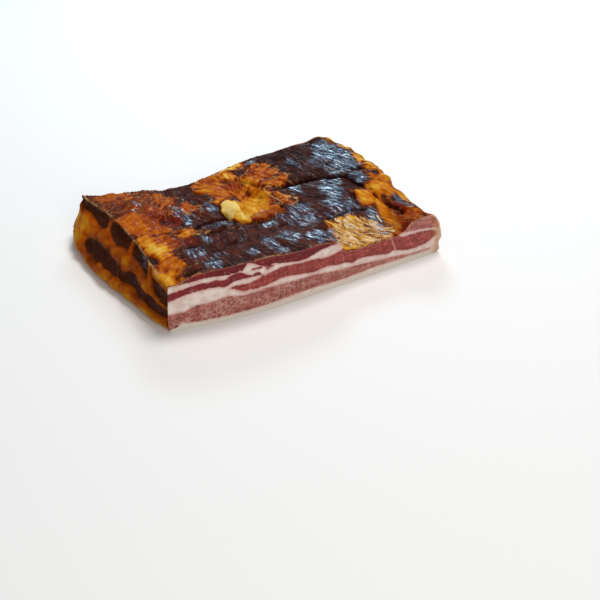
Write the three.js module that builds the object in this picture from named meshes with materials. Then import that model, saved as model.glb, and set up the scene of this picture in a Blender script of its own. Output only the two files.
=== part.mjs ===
// A slab of smoked streaky bacon, lying on its rind. It is one piece of meat, so it is one closed solid.
//
// The long front side (-Y) is a fresh, straight cut. The other three sides and the top are smoked and
// dried: the left end (-X) leans outwards from a crisp ridge down to a full belly of fat, the right end
// and the back roll over in a round shoulder. The top is the rib side: it has a pit of soft fat near its
// middle with a pale lump beside it, a thick muscle at the back right, seams between the muscles, and a
// hollow at the front right where the slab is a third thinner.
//
// Shapes are worked out in a working frame whose origin is the middle of the cut, on the surface that the
// slab lies on. The finished geometry is then moved so that the origin is the middle of its footprint.
import * as THREE from "three";

// ---- Driving dimensions, in millimetres -------------------------------------------------------------
const CUT_LENGTH = 250; // the fresh cut, along the top edge
const DEPTH = 175; // from the cut to the back, at the middle
const THICKNESS = 42; // the usual height of the top above the rind
const LEFT_REACH = 10; // the left end reaches this much further back than the middle
const CORNER_RADIUS = 17; // of the back right corner, seen from above

// Number of faces along the cut and along the depth.
const FACES_ALONG = 52;
const FACES_DEEP = 36;
// Heights up a side, as a share of the height there: close together where the side turns over.
const LEVELS = [0, 0.06, 0.14, 0.24, 0.38, 0.52, 0.66, 0.79, 0.89, 0.96, 1];

const HALF_CUT = CUT_LENGTH / 2;
const LEFT_DEPTH = DEPTH + LEFT_REACH;

// ---- Small helpers ----------------------------------------------------------------------------------
const clamp01 = (t) => Math.min(1, Math.max(0, t));
const lerp = (a, b, t) => a + (b - a) * t;
const bell = (t) => Math.exp(-t * t);
const smooth = (t) => {
  const c = clamp01(t);
  return c * c * (3 - 2 * c);
};

// A smooth curve through a few points [x, y], level beyond its two ends.
function curve(points) {
  const slope = (i) => {
    const a = points[Math.max(0, i - 1)];
    const b = points[Math.min(points.length - 1, i + 1)];
    return (b[1] - a[1]) / (b[0] - a[0]);
  };
  return (x) => {
    if (x <= points[0][0]) return points[0][1];
    if (x >= points.at(-1)[0]) return points.at(-1)[1];
    const i = points.findIndex((p) => p[0] > x) - 1;
    const [x0, y0] = points[i];
    const [x1, y1] = points[i + 1];
    const run = x1 - x0;
    const t = (x - x0) / run;
    const s = t * t * (3 - 2 * t);
    const out = t * (1 - t) * (1 - t) * slope(i) * run;
    const back = t * t * (1 - t) * slope(i + 1) * run;
    return lerp(y0, y1, s) + out - back;
  };
}

// Distance from (x, y) to a bent line of points.
function distanceTo(line, x, y) {
  let nearest = Infinity;
  for (let i = 1; i < line.length; i++) {
    const [ax, ay] = line[i - 1];
    const dx = line[i][0] - ax;
    const dy = line[i][1] - ay;
    const t = clamp01(((x - ax) * dx + (y - ay) * dy) / (dx * dx + dy * dy));
    nearest = Math.min(nearest, Math.hypot(x - ax - t * dx, y - ay - t * dy));
  }
  return nearest;
}

// ---- The outline from above, where the slab is fullest ----------------------------------------------
// Each line is given by a few points: along the line first, then across it.

// The cut swells forward a little between its two ends.
const cutLine = curve([
  [-HALF_CUT - 3, -1.5],
  [-85, -8.6],
  [-40, -11.4],
  [20, -8.6],
  [75, -5.8],
  [HALF_CUT + 6, -1.2],
]);

const leftLine = curve([
  [0, -128.5],
  [15, -133],
  [35, -137],
  [57, -139],
  [80, -143.5],
  [105, -146],
  [130, -146.5],
  [152, -145],
  [172, -140],
  [LEFT_DEPTH, -132],
]);

const rightLine = curve([
  [0, 132.5],
  [25, 129],
  [55, 131],
  [90, 136],
  [112, 135],
  [135, 129],
  [160, 125.5],
]);
const RIGHT_EDGE = rightLine(DEPTH);

// The back bends a little, and runs further back towards the left end.
const BACK_WAVE = { rise: 1.5, reach: 22, from: -90, over: 60 };
const LEFT_RUN = { from: -20, over: 114 };
function backLine(x) {
  const wave = BACK_WAVE.rise * Math.sin(x / BACK_WAVE.reach);
  const toLeft = clamp01((LEFT_RUN.from - x) / LEFT_RUN.over);
  return DEPTH + wave * smooth((x - BACK_WAVE.from) / BACK_WAVE.over) + LEFT_REACH * toLeft * toLeft;
}

const cornerX = RIGHT_EDGE - CORNER_RADIUS;
const cornerY = backLine(cornerX) - CORNER_RADIUS;

// ---- How the sides turn over, round the outline -----------------------------------------------------
// How far inside the outline the top edge lies, along each side.
const leftInset = curve([
  [0, 1.5],
  [20, 9],
  [57, 17],
  [80, 23.5],
  [105, 26.5],
  [130, 26],
  [152, 22],
  [172, 14],
  [LEFT_DEPTH, 8],
]);
const rightInset = curve([
  [0, 15],
  [26, 17],
  [45, 16],
  [70, 13],
  [92, 11],
  [118, 12],
  [135, 10.5],
  [cornerY, 11],
]);
const backInset = curve([
  [-133, 6],
  [-112, 3.5],
  [-60, 5],
  [0, 6],
  [60, 7],
  [cornerX, 11],
]);
// How far the foot tucks in under the outline.
const leftFoot = curve([
  [0, 2.5],
  [30, 7],
  [75, 10],
  [120, 7],
  [155, 4],
]);
const FOOT_INSET = 3.5;
// The share of the height where a side is fullest.
const leftFull = curve([
  [0, 0.2],
  [135, 0.2],
  [172, 0.4],
]);
const RIGHT_FULL = 0.35;
// The left end leans straight up to its ridge, and hollows out under the ridge's far tip.
const ridgeBend = curve([
  [0, 1.35],
  [140, 1.35],
  [170, 0.75],
]);
// A groove runs above the lip of the rind, at the front of the right end.
const LIP = { height: 5, half: 1.6, depth: 2, length: 60 };

// crisp is 1 for a ridge like that of the left end, and 0 for a round shoulder.
function sideOffset(side, share, height) {
  const above = (share - side.full) / (1 - side.full);
  if (above < 0) {
    const below = 1 - share / side.full;
    return -side.foot * (1 - Math.sqrt(1 - below * below));
  }
  const ridge = Math.pow(above, side.bend);
  const shoulder = 1 - Math.sqrt(1 - above * above);
  const groove = side.lip * LIP.depth * bell((share * height - LIP.height) / LIP.half);
  return -side.inset * lerp(shoulder, ridge, side.crisp) - groove;
}

// ---- The top ----------------------------------------------------------------------------------------
// Swells and hollows: middle, reach along X and Y, rise, and how flat its crown is (2 is a plain bell).
const SWELLS = [
  { name: "front left shoulder", at: [-55, -5], reach: [60, 45], rise: 6, flat: 2 },
  { name: "front right hollow", at: [60, -8], reach: [34, 38], rise: -12, flat: 4 },
  { name: "right lobe", at: [118, 5], reach: [20, 30], rise: -2.5, flat: 2 },
  { name: "back left fall", at: [-40, 182], reach: [55, 48], rise: -11, flat: 2 },
  { name: "left tip fall", at: [-103, 182], reach: [20, 26], rise: -3, flat: 2 },
  { name: "back right muscle", at: [98, 146], reach: [42, 42], rise: 7, flat: 2 },
  { name: "back right corner", at: [106, 174], reach: [8, 14], rise: 5.5, flat: 2 },
  { name: "middle muscle", at: [62, 72], reach: [26, 20], rise: 2.5, flat: 2 },
  { name: "left rib trough", at: [-62, 92], reach: [42, 15], rise: -3, flat: 2 },
  { name: "fat pit", at: [2, 112], reach: [12, 24], rise: -10, flat: 3 },
  { name: "pit rim", at: [22, 104], reach: [7, 17], rise: 2.5, flat: 2 },
  { name: "back fat", at: [14, 160], reach: [20, 10], rise: 2, flat: 2 },
  { name: "pale lump", at: [-23, 90], reach: [9, 16], rise: 4.5, flat: 3 },
  { name: "right fat lobe", at: [104, 52], reach: [10, 16], rise: 3.5, flat: 3 },
  { name: "inner fat lobe", at: [84, 52], reach: [8, 13], rise: 2.5, flat: 3 },
  { name: "end fat lobe", at: [107, 18], reach: [9, 13], rise: 2.5, flat: 3 },
  { name: "left fat", at: [-111, 58], reach: [8, 24], rise: 1.5, flat: 2 },
];
// Seams between the muscles: the line they follow, half their width, and their depth.
const SEAMS = [
  { line: [[28, 106], [58, 104], [76, 98], [92, 94], [98, 72]], width: 4.5, depth: 3.5 },
  { line: [[-66, 70], [-50, 78], [-32, 78]], width: 4.5, depth: 2 },
  { line: [[97, 44], [95, 20], [91, -4]], width: 4.5, depth: 3 },
  { line: [[-36, 62], [-14, 56], [10, 62]], width: 4.5, depth: 2 },
];
// Shallow creases over the dried meat.
const CREASE = { rise: 0.5, along: 7, deep: 6, lean: 19, drift: 31 };

// The height of the top edge along the cut, and how far back from the cut it settles into the top.
const cutHeight = curve([
  [-128, 41],
  [-119, 42],
  [-110, 46.3],
  [-98, 48.6],
  [-70, 49.2],
  [-40, 48.9],
  [-26, 46.8],
  [-12, 46],
  [4, 46],
  [14, 44.4],
  [21, 42],
  [26, 35.5],
  [31, 31],
  [60, 30],
  [84, 30],
  [90, 31],
  [97, 36],
  [104, 38.6],
  [112, 39.6],
  [118, 39.2],
]);
const CUT_SETTLES = 24;

function innerHeight(x, y) {
  let height = THICKNESS;
  for (const { at, reach, rise, flat } of SWELLS) {
    const far = Math.hypot((x - at[0]) / reach[0], (y - at[1]) / reach[1]);
    height += rise * Math.exp(-Math.pow(far, flat));
  }
  for (const { line, width, depth } of SEAMS) {
    height -= depth * bell(distanceTo(line, x, y) / width);
  }
  const across = Math.sin(x / CREASE.along + y / CREASE.lean);
  const deep = Math.sin(y / CREASE.deep - x / CREASE.drift);
  return height + CREASE.rise * across * deep;
}

function topHeight(x, y) {
  const front = cutLine(x);
  const mend = cutHeight(x) - innerHeight(x, front);
  return innerHeight(x, y) + mend * bell((y - front) / CUT_SETTLES);
}

// ---- Points on the skin -----------------------------------------------------------------------------
// The ring walks round the outline: the cut from left to right, the right side, the back from right to
// left, then the left side. Each side gives a point of the outline, the direction that points out of it,
// and how the side turns over there.
const RING = 2 * (FACES_ALONG + FACES_DEEP);
const roundCorner = (turn) => Math.sqrt(CORNER_RADIUS ** 2 - turn ** 2);
const CORNER_TURN = CORNER_RADIUS * Math.SQRT1_2; // where the right side hands over to the back

function rightPoint(t) {
  const y = lerp(cutLine(HALF_CUT), cornerY + CORNER_TURN, t);
  const turn = Math.max(0, y - cornerY);
  const x = rightLine(y) - CORNER_RADIUS + roundCorner(turn);
  const ny = turn / CORNER_RADIUS;
  const lip = 1 - smooth(y / LIP.length);
  const side = { inset: rightInset(y), full: RIGHT_FULL, foot: FOOT_INSET, crisp: 0, bend: 1, lip };
  return { x, y, nx: Math.sqrt(1 - ny * ny), ny, ...side };
}

// The pointed corner at the far end of the left ridge: its share of a side, and how far it faces back.
const TIP = { share: 0.14, lean: 0.7 };

function backPoint(t) {
  const cornerEnd = rightLine(cornerY + CORNER_TURN) - CORNER_RADIUS + CORNER_TURN;
  const x = lerp(leftLine(LEFT_DEPTH), cornerEnd, t);
  const turn = Math.min(CORNER_TURN, Math.max(0, x - cornerX));
  const y = backLine(Math.min(x, cornerX)) - CORNER_RADIUS + roundCorner(turn);
  const tip = 1 - smooth(t / TIP.share);
  const nx = turn / CORNER_RADIUS - TIP.lean * tip;
  const full = lerp(RIGHT_FULL, leftFull(LEFT_DEPTH), tip);
  const foot = lerp(FOOT_INSET, leftFoot(LEFT_DEPTH), tip);
  const side = { inset: backInset(x), full, foot, crisp: tip, bend: ridgeBend(LEFT_DEPTH), lip: 0 };
  return { x, y, nx, ny: Math.sqrt(1 - nx * nx), ...side };
}

function leftPoint(t) {
  const y = lerp(cutLine(-HALF_CUT), LEFT_DEPTH, t);
  const ny = TIP.lean * smooth((t - 1 + TIP.share) / TIP.share);
  const side = { inset: leftInset(y), full: leftFull(y), foot: leftFoot(y), crisp: 1, bend: ridgeBend(y) };
  return { x: leftLine(y), y, nx: -Math.sqrt(1 - ny * ny), ny, ...side, lip: 0 };
}

// The point of the skin at a share of the height that the top has above it.
function edgePoint(base, share) {
  const height = topHeight(base.x - base.nx * base.inset, base.y - base.ny * base.inset);
  const off = sideOffset(base, share, height);
  return new THREE.Vector3(base.x + base.nx * off, base.y + base.ny * off, height * share);
}

// u runs along the cut from 0 at its left edge to 1 at its right edge.
function cutPoint(u, share) {
  const across = (level) => {
    const left = edgePoint(leftPoint(0), level);
    const right = edgePoint(rightPoint(0), level);
    return lerp(left.x, right.x, u);
  };
  const x = across(share);
  const topX = across(1);
  return new THREE.Vector3(x, cutLine(x), share * topHeight(topX, cutLine(topX)));
}

function ringPoint(step, share) {
  if (step < FACES_ALONG) return cutPoint(step / FACES_ALONG, share);
  step -= FACES_ALONG;
  if (step < FACES_DEEP) return edgePoint(rightPoint(step / FACES_DEEP), share);
  step -= FACES_DEEP;
  if (step < FACES_ALONG) return edgePoint(backPoint(1 - step / FACES_ALONG), share);
  step -= FACES_ALONG;
  return edgePoint(leftPoint(1 - step / FACES_DEEP), share);
}

// The top is stretched between its four edges, then raised to its height.
function topPoint(i, j, edge) {
  const u = i / FACES_ALONG;
  const v = j / FACES_DEEP;
  const front = edge(i);
  const right = edge(FACES_ALONG + j);
  const back = edge(2 * FACES_ALONG + FACES_DEEP - i);
  const left = edge((RING - j) % RING);
  const corners = [edge(0), edge(FACES_ALONG), edge(FACES_ALONG + FACES_DEEP), edge(RING - FACES_DEEP)];
  const blend = (axis) =>
    lerp(front[axis], back[axis], v) +
    lerp(left[axis], right[axis], u) -
    lerp(lerp(corners[0][axis], corners[1][axis], u), lerp(corners[3][axis], corners[2][axis], u), v);
  const x = blend("x");
  const y = blend("y");
  return new THREE.Vector3(x, y, topHeight(x, y));
}

// ---- The solid --------------------------------------------------------------------------------------
function slabGeometry() {
  const points = [];
  const faces = [];
  for (const share of LEVELS) {
    for (let step = 0; step < RING; step++) points.push(ringPoint(step, share));
  }
  const topRing = (LEVELS.length - 1) * RING;
  const edge = (step) => points[topRing + step];

  // The sides, level by level.
  for (let level = 0; level + 1 < LEVELS.length; level++) {
    for (let step = 0; step < RING; step++) {
      const next = (step + 1) % RING;
      const a = level * RING + step;
      const b = level * RING + next;
      faces.push(a, b, b + RING, a, b + RING, a + RING);
    }
  }

  // The rind lies flat.
  const foot = points.slice(0, RING).map((p) => new THREE.Vector2(p.x, p.y));
  for (const [a, b, c] of THREE.ShapeUtils.triangulateShape(foot, [])) faces.push(a, c, b);

  // The top, whose outer points are those of the highest ring.
  const inner = points.length;
  for (let j = 1; j < FACES_DEEP; j++) {
    for (let i = 1; i < FACES_ALONG; i++) points.push(topPoint(i, j, edge));
  }
  const top = (i, j) => {
    if (j === 0) return topRing + i;
    if (i === FACES_ALONG) return topRing + FACES_ALONG + j;
    if (j === FACES_DEEP) return topRing + 2 * FACES_ALONG + FACES_DEEP - i;
    if (i === 0) return topRing + RING - j;
    return inner + (j - 1) * (FACES_ALONG - 1) + (i - 1);
  };
  for (let j = 0; j < FACES_DEEP; j++) {
    for (let i = 0; i < FACES_ALONG; i++) {
      const [a, b, c, d] = [top(i, j), top(i + 1, j), top(i + 1, j + 1), top(i, j + 1)];
      faces.push(a, b, c, a, c, d);
    }
  }

  const geometry = new THREE.BufferGeometry();
  geometry.setAttribute("position", new THREE.Float32BufferAttribute(points.flatMap((p) => [...p]), 3));
  geometry.setIndex(faces);
  geometry.computeBoundingBox();
  const middle = geometry.boundingBox.getCenter(new THREE.Vector3());
  geometry.translate(-middle.x, -middle.y, 0);
  geometry.computeVertexNormals();
  return geometry;
}

// Dried and smoked outside: dark red brown and amber, with a waxy shine.
const smokedMeat = new THREE.MeshStandardMaterial({ color: 0x7a3a22, roughness: 0.42, metalness: 0 });

const slab = new THREE.Mesh(slabGeometry(), smokedMeat);
slab.name = "bacon_slab";

const bacon = new THREE.Group();
bacon.add(slab);

export default bacon;
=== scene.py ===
# A slab of smoked streaky bacon, lying on its rind, in Blender 4.5.
#
# The slab is one piece of meat. Its long front side is a fresh cut, which shows the layers of lean and fat.
# The top and the other sides are dried and smoked: dark, wrinkled lean with patches of amber fat. Shapes and
# patterns are worked out in millimetres in a working frame: its origin is the middle of the cut, on the
# surface the slab lies on, X runs right along the cut, Y runs back and Z up. They are moved to the model's
# own frame, in metres, when the meshes are made.
import itertools
import math

import bpy
import numpy as np
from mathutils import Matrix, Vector


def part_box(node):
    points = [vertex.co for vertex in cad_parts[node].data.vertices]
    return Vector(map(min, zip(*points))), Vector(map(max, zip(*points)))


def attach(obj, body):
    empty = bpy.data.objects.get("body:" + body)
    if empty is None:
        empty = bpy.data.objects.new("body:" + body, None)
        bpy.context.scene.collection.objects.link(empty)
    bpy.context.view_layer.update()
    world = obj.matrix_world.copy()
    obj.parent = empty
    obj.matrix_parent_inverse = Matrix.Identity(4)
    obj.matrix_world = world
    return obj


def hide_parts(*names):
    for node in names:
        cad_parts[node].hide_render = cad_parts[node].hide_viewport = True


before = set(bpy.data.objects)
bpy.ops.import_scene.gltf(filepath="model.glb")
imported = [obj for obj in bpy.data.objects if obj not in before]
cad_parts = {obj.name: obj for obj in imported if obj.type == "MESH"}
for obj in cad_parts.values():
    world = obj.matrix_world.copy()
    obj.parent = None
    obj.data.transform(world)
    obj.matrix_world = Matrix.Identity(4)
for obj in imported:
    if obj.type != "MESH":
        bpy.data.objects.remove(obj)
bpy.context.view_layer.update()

MM = 0.001

# ---- Driving dimensions, in millimetres ---------------------------------------------------------------
CUT_LENGTH = 250  # the fresh cut, along the top edge
DEPTH = 175  # from the cut to the back, at the middle
THICKNESS = 42  # the usual height of the top above the rind
LEFT_REACH = 10  # the left end reaches this much further back than the middle
CORNER_RADIUS = 17  # of the back right corner, seen from above

HALF_CUT = CUT_LENGTH / 2
LEFT_DEPTH = DEPTH + LEFT_REACH

# Faces along the cut, along the depth and up the sides.
FACES_ALONG = 288
FACES_DEEP = 192
FACES_UP = 38
RING = 2 * (FACES_ALONG + FACES_DEEP)


# ---- Small helpers ------------------------------------------------------------------------------------
def lerp(a, b, t):
    return a + (b - a) * t


def bell(t):
    return np.exp(-np.square(t))


def smooth(t):
    c = np.clip(t, 0, 1)
    return c * c * (3 - 2 * c)


def grows(value, start, over):
    """0 up to the start and 1 once value is over further, eased. A negative over turns it round."""
    return smooth((value - start) / over)


def hump(value, middle, half):
    return bell((value - middle) / half)


def curve(points):
    """A smooth curve through a few points (x, y), level beyond its two ends."""
    x, y = np.array(points, float).T
    before = np.maximum(np.arange(len(x)) - 1, 0)
    after = np.minimum(np.arange(len(x)) + 1, len(x) - 1)
    slope = (y[after] - y[before]) / (x[after] - x[before])

    def value(at):
        at = np.clip(np.asarray(at, float), x[0], x[-1])
        i = np.clip(np.searchsorted(x, at, side="right") - 1, 0, len(x) - 2)
        run = x[i + 1] - x[i]
        t = (at - x[i]) / run
        out = t * (1 - t) ** 2 * slope[i] * run
        back = t * t * (1 - t) * slope[i + 1] * run
        return lerp(y[i], y[i + 1], t * t * (3 - 2 * t)) + out - back

    return value


def distance_to(line, x, y):
    """Distance from each (x, y) to a bent line of points."""
    nearest = np.full(np.shape(x), np.inf)
    for (ax, ay), (bx, by) in zip(line, line[1:]):
        dx, dy = bx - ax, by - ay
        t = np.clip(((x - ax) * dx + (y - ay) * dy) / (dx * dx + dy * dy), 0, 1)
        nearest = np.minimum(nearest, np.hypot(x - ax - t * dx, y - ay - t * dy))
    return nearest


def inside_oval(x, y, middle, reach, turn=0):
    """Millimetres inside the edge of an oval, negative outside it. turn is in degrees."""
    c, s = math.cos(math.radians(turn)), math.sin(math.radians(turn))
    dx, dy = x - middle[0], y - middle[1]
    far = np.hypot((dx * c + dy * s) / reach[0], (dy * c - dx * s) / reach[1])
    return (1 - far) * min(reach)


# Gradient noise: the same value at the same place on every run. The gain brings it to about -1 to 1.
NOISE_GAIN = 1.6
MIXER = np.random.default_rng(7).permutation(256)
SLOPES = np.random.default_rng(11).normal(size=(256, 3))
SLOPES /= np.linalg.norm(SLOPES, axis=1)[:, None]


def noise(points, size, seed=0):
    """Smooth noise from about -1 to 1 at each point. size is the size of its lumps, one or three numbers."""
    p = points / np.asarray(size, float)
    cell = np.floor(p).astype(int)
    f = p - cell
    fade = f**3 * (f * (f * 6 - 15) + 10)
    total = np.zeros(len(p))
    for corner in itertools.product((0, 1), repeat=3):
        key = MIXER[(cell[:, 0] + corner[0] + seed * 37) & 255]
        key = MIXER[(key + cell[:, 1] + corner[1]) & 255]
        key = MIXER[(key + cell[:, 2] + corner[2]) & 255]
        weight = np.prod(np.where(corner, fade, 1 - fade), axis=1)
        total += weight * ((f - corner) * SLOPES[key]).sum(axis=1)
    return total * NOISE_GAIN


def ridged(points, size, seed=0):
    """Noise with sharp crests, from about -1 to 1."""
    return 1 - 2 * np.sqrt(np.abs(noise(points, size, seed)))


def layered(points, layers):
    """Several noises laid over each other: the kind, height, lump size and seed of each."""
    return sum(height * kind(points, size, seed) for kind, height, size, seed in layers)


# ---- The outline from above, where the slab is fullest ------------------------------------------------
cut_line = curve([
    (-HALF_CUT - 3, -1.5), (-85, -8.6), (-40, -11.4), (20, -8.6), (75, -5.8), (HALF_CUT + 6, -1.2),
])
left_line = curve([
    (0, -128.5), (15, -133), (35, -137), (57, -139), (80, -143.5), (105, -146), (130, -146.5), (152, -145),
    (172, -140), (LEFT_DEPTH, -132),
])
right_line = curve([(0, 132.5), (25, 129), (55, 131), (90, 136), (112, 135), (135, 129), (160, 125.5)])
RIGHT_EDGE = float(right_line(DEPTH))
BACK_WAVE = dict(rise=1.5, reach=22, start=-90, over=60)
LEFT_RUN = dict(start=-20, over=114)


def back_line(x):
    wave = BACK_WAVE["rise"] * np.sin(x / BACK_WAVE["reach"])
    to_left = np.clip((LEFT_RUN["start"] - x) / LEFT_RUN["over"], 0, 1)
    return DEPTH + wave * smooth((x - BACK_WAVE["start"]) / BACK_WAVE["over"]) + LEFT_REACH * to_left**2


corner_x = RIGHT_EDGE - CORNER_RADIUS
corner_y = float(back_line(corner_x)) - CORNER_RADIUS

# How far inside the outline the top edge lies, and how far the foot tucks in under it.
left_inset = curve([
    (0, 1.5), (20, 9), (57, 17), (80, 23.5), (105, 26.5), (130, 26), (152, 22), (172, 14), (LEFT_DEPTH, 8),
])
right_inset = curve([(0, 15), (26, 17), (45, 16), (70, 13), (92, 11), (118, 12), (135, 10.5), (corner_y, 11)])
back_inset = curve([(-133, 6), (-112, 3.5), (-60, 5), (0, 6), (60, 7), (corner_x, 11)])
left_foot = curve([(0, 2.5), (30, 7), (75, 10), (120, 7), (155, 4)])
FOOT_INSET = 3.5
# The share of the height where a side is fullest, and how the left end's ridge bends.
left_full = curve([(0, 0.2), (135, 0.2), (172, 0.4)])
RIGHT_FULL = 0.35
ridge_bend = curve([(0, 1.35), (140, 1.35), (170, 0.75)])
LIP = dict(height=5, half=1.6, depth=2, length=60)
TIP = dict(share=0.14, lean=0.7)

# ---- The top ------------------------------------------------------------------------------------------
# Swells and hollows: name, middle, reach along X and Y, rise, and how flat the crown is (2 is a bell).
SWELLS = [
    ("front left shoulder", (-55, -5), (60, 45), 6, 2),
    ("front right hollow", (60, -8), (34, 38), -12, 4),
    ("right lobe", (118, 5), (20, 30), -2.5, 2),
    ("back left fall", (-40, 182), (55, 48), -11, 2),
    ("left tip fall", (-103, 182), (20, 26), -3, 2),
    ("back right muscle", (98, 146), (42, 42), 7, 2),
    ("back right corner", (106, 174), (8, 14), 5.5, 2),
    ("middle muscle", (62, 72), (26, 20), 2.5, 2),
    ("left rib trough", (-62, 92), (42, 15), -3, 2),
    ("fat pit", (2, 112), (12, 24), -10, 3),
    ("pit rim", (22, 104), (7, 17), 2.5, 2),
    ("back fat", (14, 160), (20, 10), 2, 2),
    ("pale lump", (-23, 90), (9, 16), 4.5, 3),
    ("right fat lobe", (104, 52), (10, 16), 3.5, 3),
    ("inner fat lobe", (84, 52), (8, 13), 2.5, 3),
    ("end fat lobe", (107, 18), (9, 13), 2.5, 3),
    ("left fat", (-111, 58), (8, 24), 1.5, 2),
]
# Seams between the muscles: the line they follow, half their width, and their depth.
SEAMS = [
    ([(28, 106), (58, 104), (76, 98), (92, 94), (98, 72)], 4.5, 3.5),
    ([(-66, 70), (-50, 78), (-32, 78)], 4.5, 2),
    ([(97, 44), (95, 20), (91, -4)], 4.5, 3),
    ([(-36, 62), (-14, 56), (10, 62)], 4.5, 2),
]
CREASE = dict(rise=0.5, along=7, deep=6, lean=19, drift=31)

# The height of the top edge along the cut, and how far back it settles into the top.
cut_height = curve([
    (-128, 41), (-119, 42), (-110, 46.3), (-98, 48.6), (-70, 49.2), (-40, 48.9), (-26, 46.8), (-12, 46),
    (4, 46), (14, 44.4), (21, 42), (26, 35.5), (31, 31), (60, 30), (84, 30), (90, 31), (97, 36),
    (104, 38.6), (112, 39.6), (118, 39.2),
])
CUT_SETTLES = 24


def inner_height(x, y):
    height = np.full(np.shape(x), float(THICKNESS))
    for _, (mx, my), (rx, ry), rise, flat in SWELLS:
        height = height + rise * np.exp(-np.hypot((x - mx) / rx, (y - my) / ry) ** flat)
    for line, width, depth in SEAMS:
        height = height - depth * bell(distance_to(line, x, y) / width)
    across = np.sin(x / CREASE["along"] + y / CREASE["lean"])
    deep = np.sin(y / CREASE["deep"] - x / CREASE["drift"])
    return height + CREASE["rise"] * across * deep


def top_height(x, y):
    front = cut_line(x)
    mend = cut_height(x) - inner_height(x, front)
    return inner_height(x, y) + mend * bell((y - front) / CUT_SETTLES)


# ---- Points on the skin -------------------------------------------------------------------------------
# The ring walks round the outline: the cut from left to right, the right end, the back from right to left,
# then the left end. A side is a dict of arrays, one value for each step along it.
def side_offset(side, share, height):
    """How far out of the outline the side is, at a share of its height."""
    above = (share - side["full"]) / (1 - side["full"])
    below = 1 - share / side["full"]
    tuck = -side["foot"] * (1 - np.sqrt(np.clip(1 - below**2, 0, 1)))
    up = np.clip(above, 0, 1)
    turned = lerp(1 - np.sqrt(1 - up**2), up ** side["bend"], side["crisp"])
    groove = side["lip"] * LIP["depth"] * bell((share * height - LIP["height"]) / LIP["half"])
    return np.where(above < 0, tuck, -side["inset"] * turned - groove)


def right_side(t):
    turn_at = CORNER_RADIUS * math.sqrt(0.5)
    y = lerp(float(cut_line(HALF_CUT)), corner_y + turn_at, t)
    turn = np.maximum(0, y - corner_y)
    ny = turn / CORNER_RADIUS
    return dict(
        x=right_line(y) - CORNER_RADIUS + np.sqrt(CORNER_RADIUS**2 - turn**2), y=y,
        nx=np.sqrt(1 - ny**2), ny=ny, inset=right_inset(y), full=RIGHT_FULL + 0 * y, foot=FOOT_INSET + 0 * y,
        crisp=0 * y, bend=1 + 0 * y, lip=1 - smooth(y / LIP["length"]),
    )


def back_side(t):
    turn_at = CORNER_RADIUS * math.sqrt(0.5)
    corner_end = float(right_line(corner_y + turn_at)) - CORNER_RADIUS + turn_at
    x = lerp(float(left_line(LEFT_DEPTH)), corner_end, t)
    turn = np.clip(x - corner_x, 0, turn_at)
    y = back_line(np.minimum(x, corner_x)) - CORNER_RADIUS + np.sqrt(CORNER_RADIUS**2 - turn**2)
    tip = 1 - smooth(t / TIP["share"])
    nx = turn / CORNER_RADIUS - TIP["lean"] * tip
    return dict(
        x=x, y=y, nx=nx, ny=np.sqrt(1 - nx**2), inset=back_inset(x),
        full=lerp(RIGHT_FULL, left_full(LEFT_DEPTH), tip), foot=lerp(FOOT_INSET, left_foot(LEFT_DEPTH), tip),
        crisp=tip, bend=ridge_bend(LEFT_DEPTH) + 0 * x, lip=0 * x,
    )


def left_side(t):
    y = lerp(float(cut_line(-HALF_CUT)), LEFT_DEPTH, t)
    ny = TIP["lean"] * smooth((t - 1 + TIP["share"]) / TIP["share"])
    return dict(
        x=left_line(y), y=y, nx=-np.sqrt(1 - ny**2), ny=ny, inset=left_inset(y), full=left_full(y),
        foot=left_foot(y), crisp=1 + 0 * y, bend=ridge_bend(y), lip=0 * y,
    )


def side_points(side, share):
    """The points of a side at one share of the height that the top has above it."""
    height = top_height(side["x"] - side["nx"] * side["inset"], side["y"] - side["ny"] * side["inset"])
    off = side_offset(side, share, height)
    return np.column_stack([side["x"] + side["nx"] * off, side["y"] + side["ny"] * off, height * share])


def cut_points(share):
    def across(level):
        left = side_points(left_side(np.array([0.0])), level)[0, 0]
        right = side_points(right_side(np.array([0.0])), level)[0, 0]
        return lerp(left, right, np.arange(FACES_ALONG) / FACES_ALONG)

    x, top_x = across(share), across(1.0)
    return np.column_stack([x, cut_line(x), share * top_height(top_x, cut_line(top_x))])


def ring_points(share):
    deep, along = np.arange(FACES_DEEP) / FACES_DEEP, np.arange(FACES_ALONG) / FACES_ALONG
    return np.vstack([
        cut_points(share),
        side_points(right_side(deep), share),
        side_points(back_side(1 - along), share),
        side_points(left_side(1 - deep), share),
    ])


def top_points(edge):
    """The top's inner points, stretched between its four edges and raised to its height."""
    u, v = np.meshgrid(np.arange(1, FACES_ALONG) / FACES_ALONG, np.arange(1, FACES_DEEP) / FACES_DEEP)
    i, j = np.meshgrid(np.arange(1, FACES_ALONG), np.arange(1, FACES_DEEP))
    flat = []
    for axis in (0, 1):
        side = edge[:, axis]
        front, back = side[i], side[2 * FACES_ALONG + FACES_DEEP - i]
        right, left = side[FACES_ALONG + j], side[(RING - j) % RING]
        a, b = side[0], side[FACES_ALONG]
        c, d = side[FACES_ALONG + FACES_DEEP], side[RING - FACES_DEEP]
        corners = lerp(lerp(a, b, u), lerp(d, c, u), v)
        flat.append((lerp(front, back, v) + lerp(left, right, u) - corners).ravel())
    return np.column_stack([*flat, top_height(*flat)])


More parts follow.
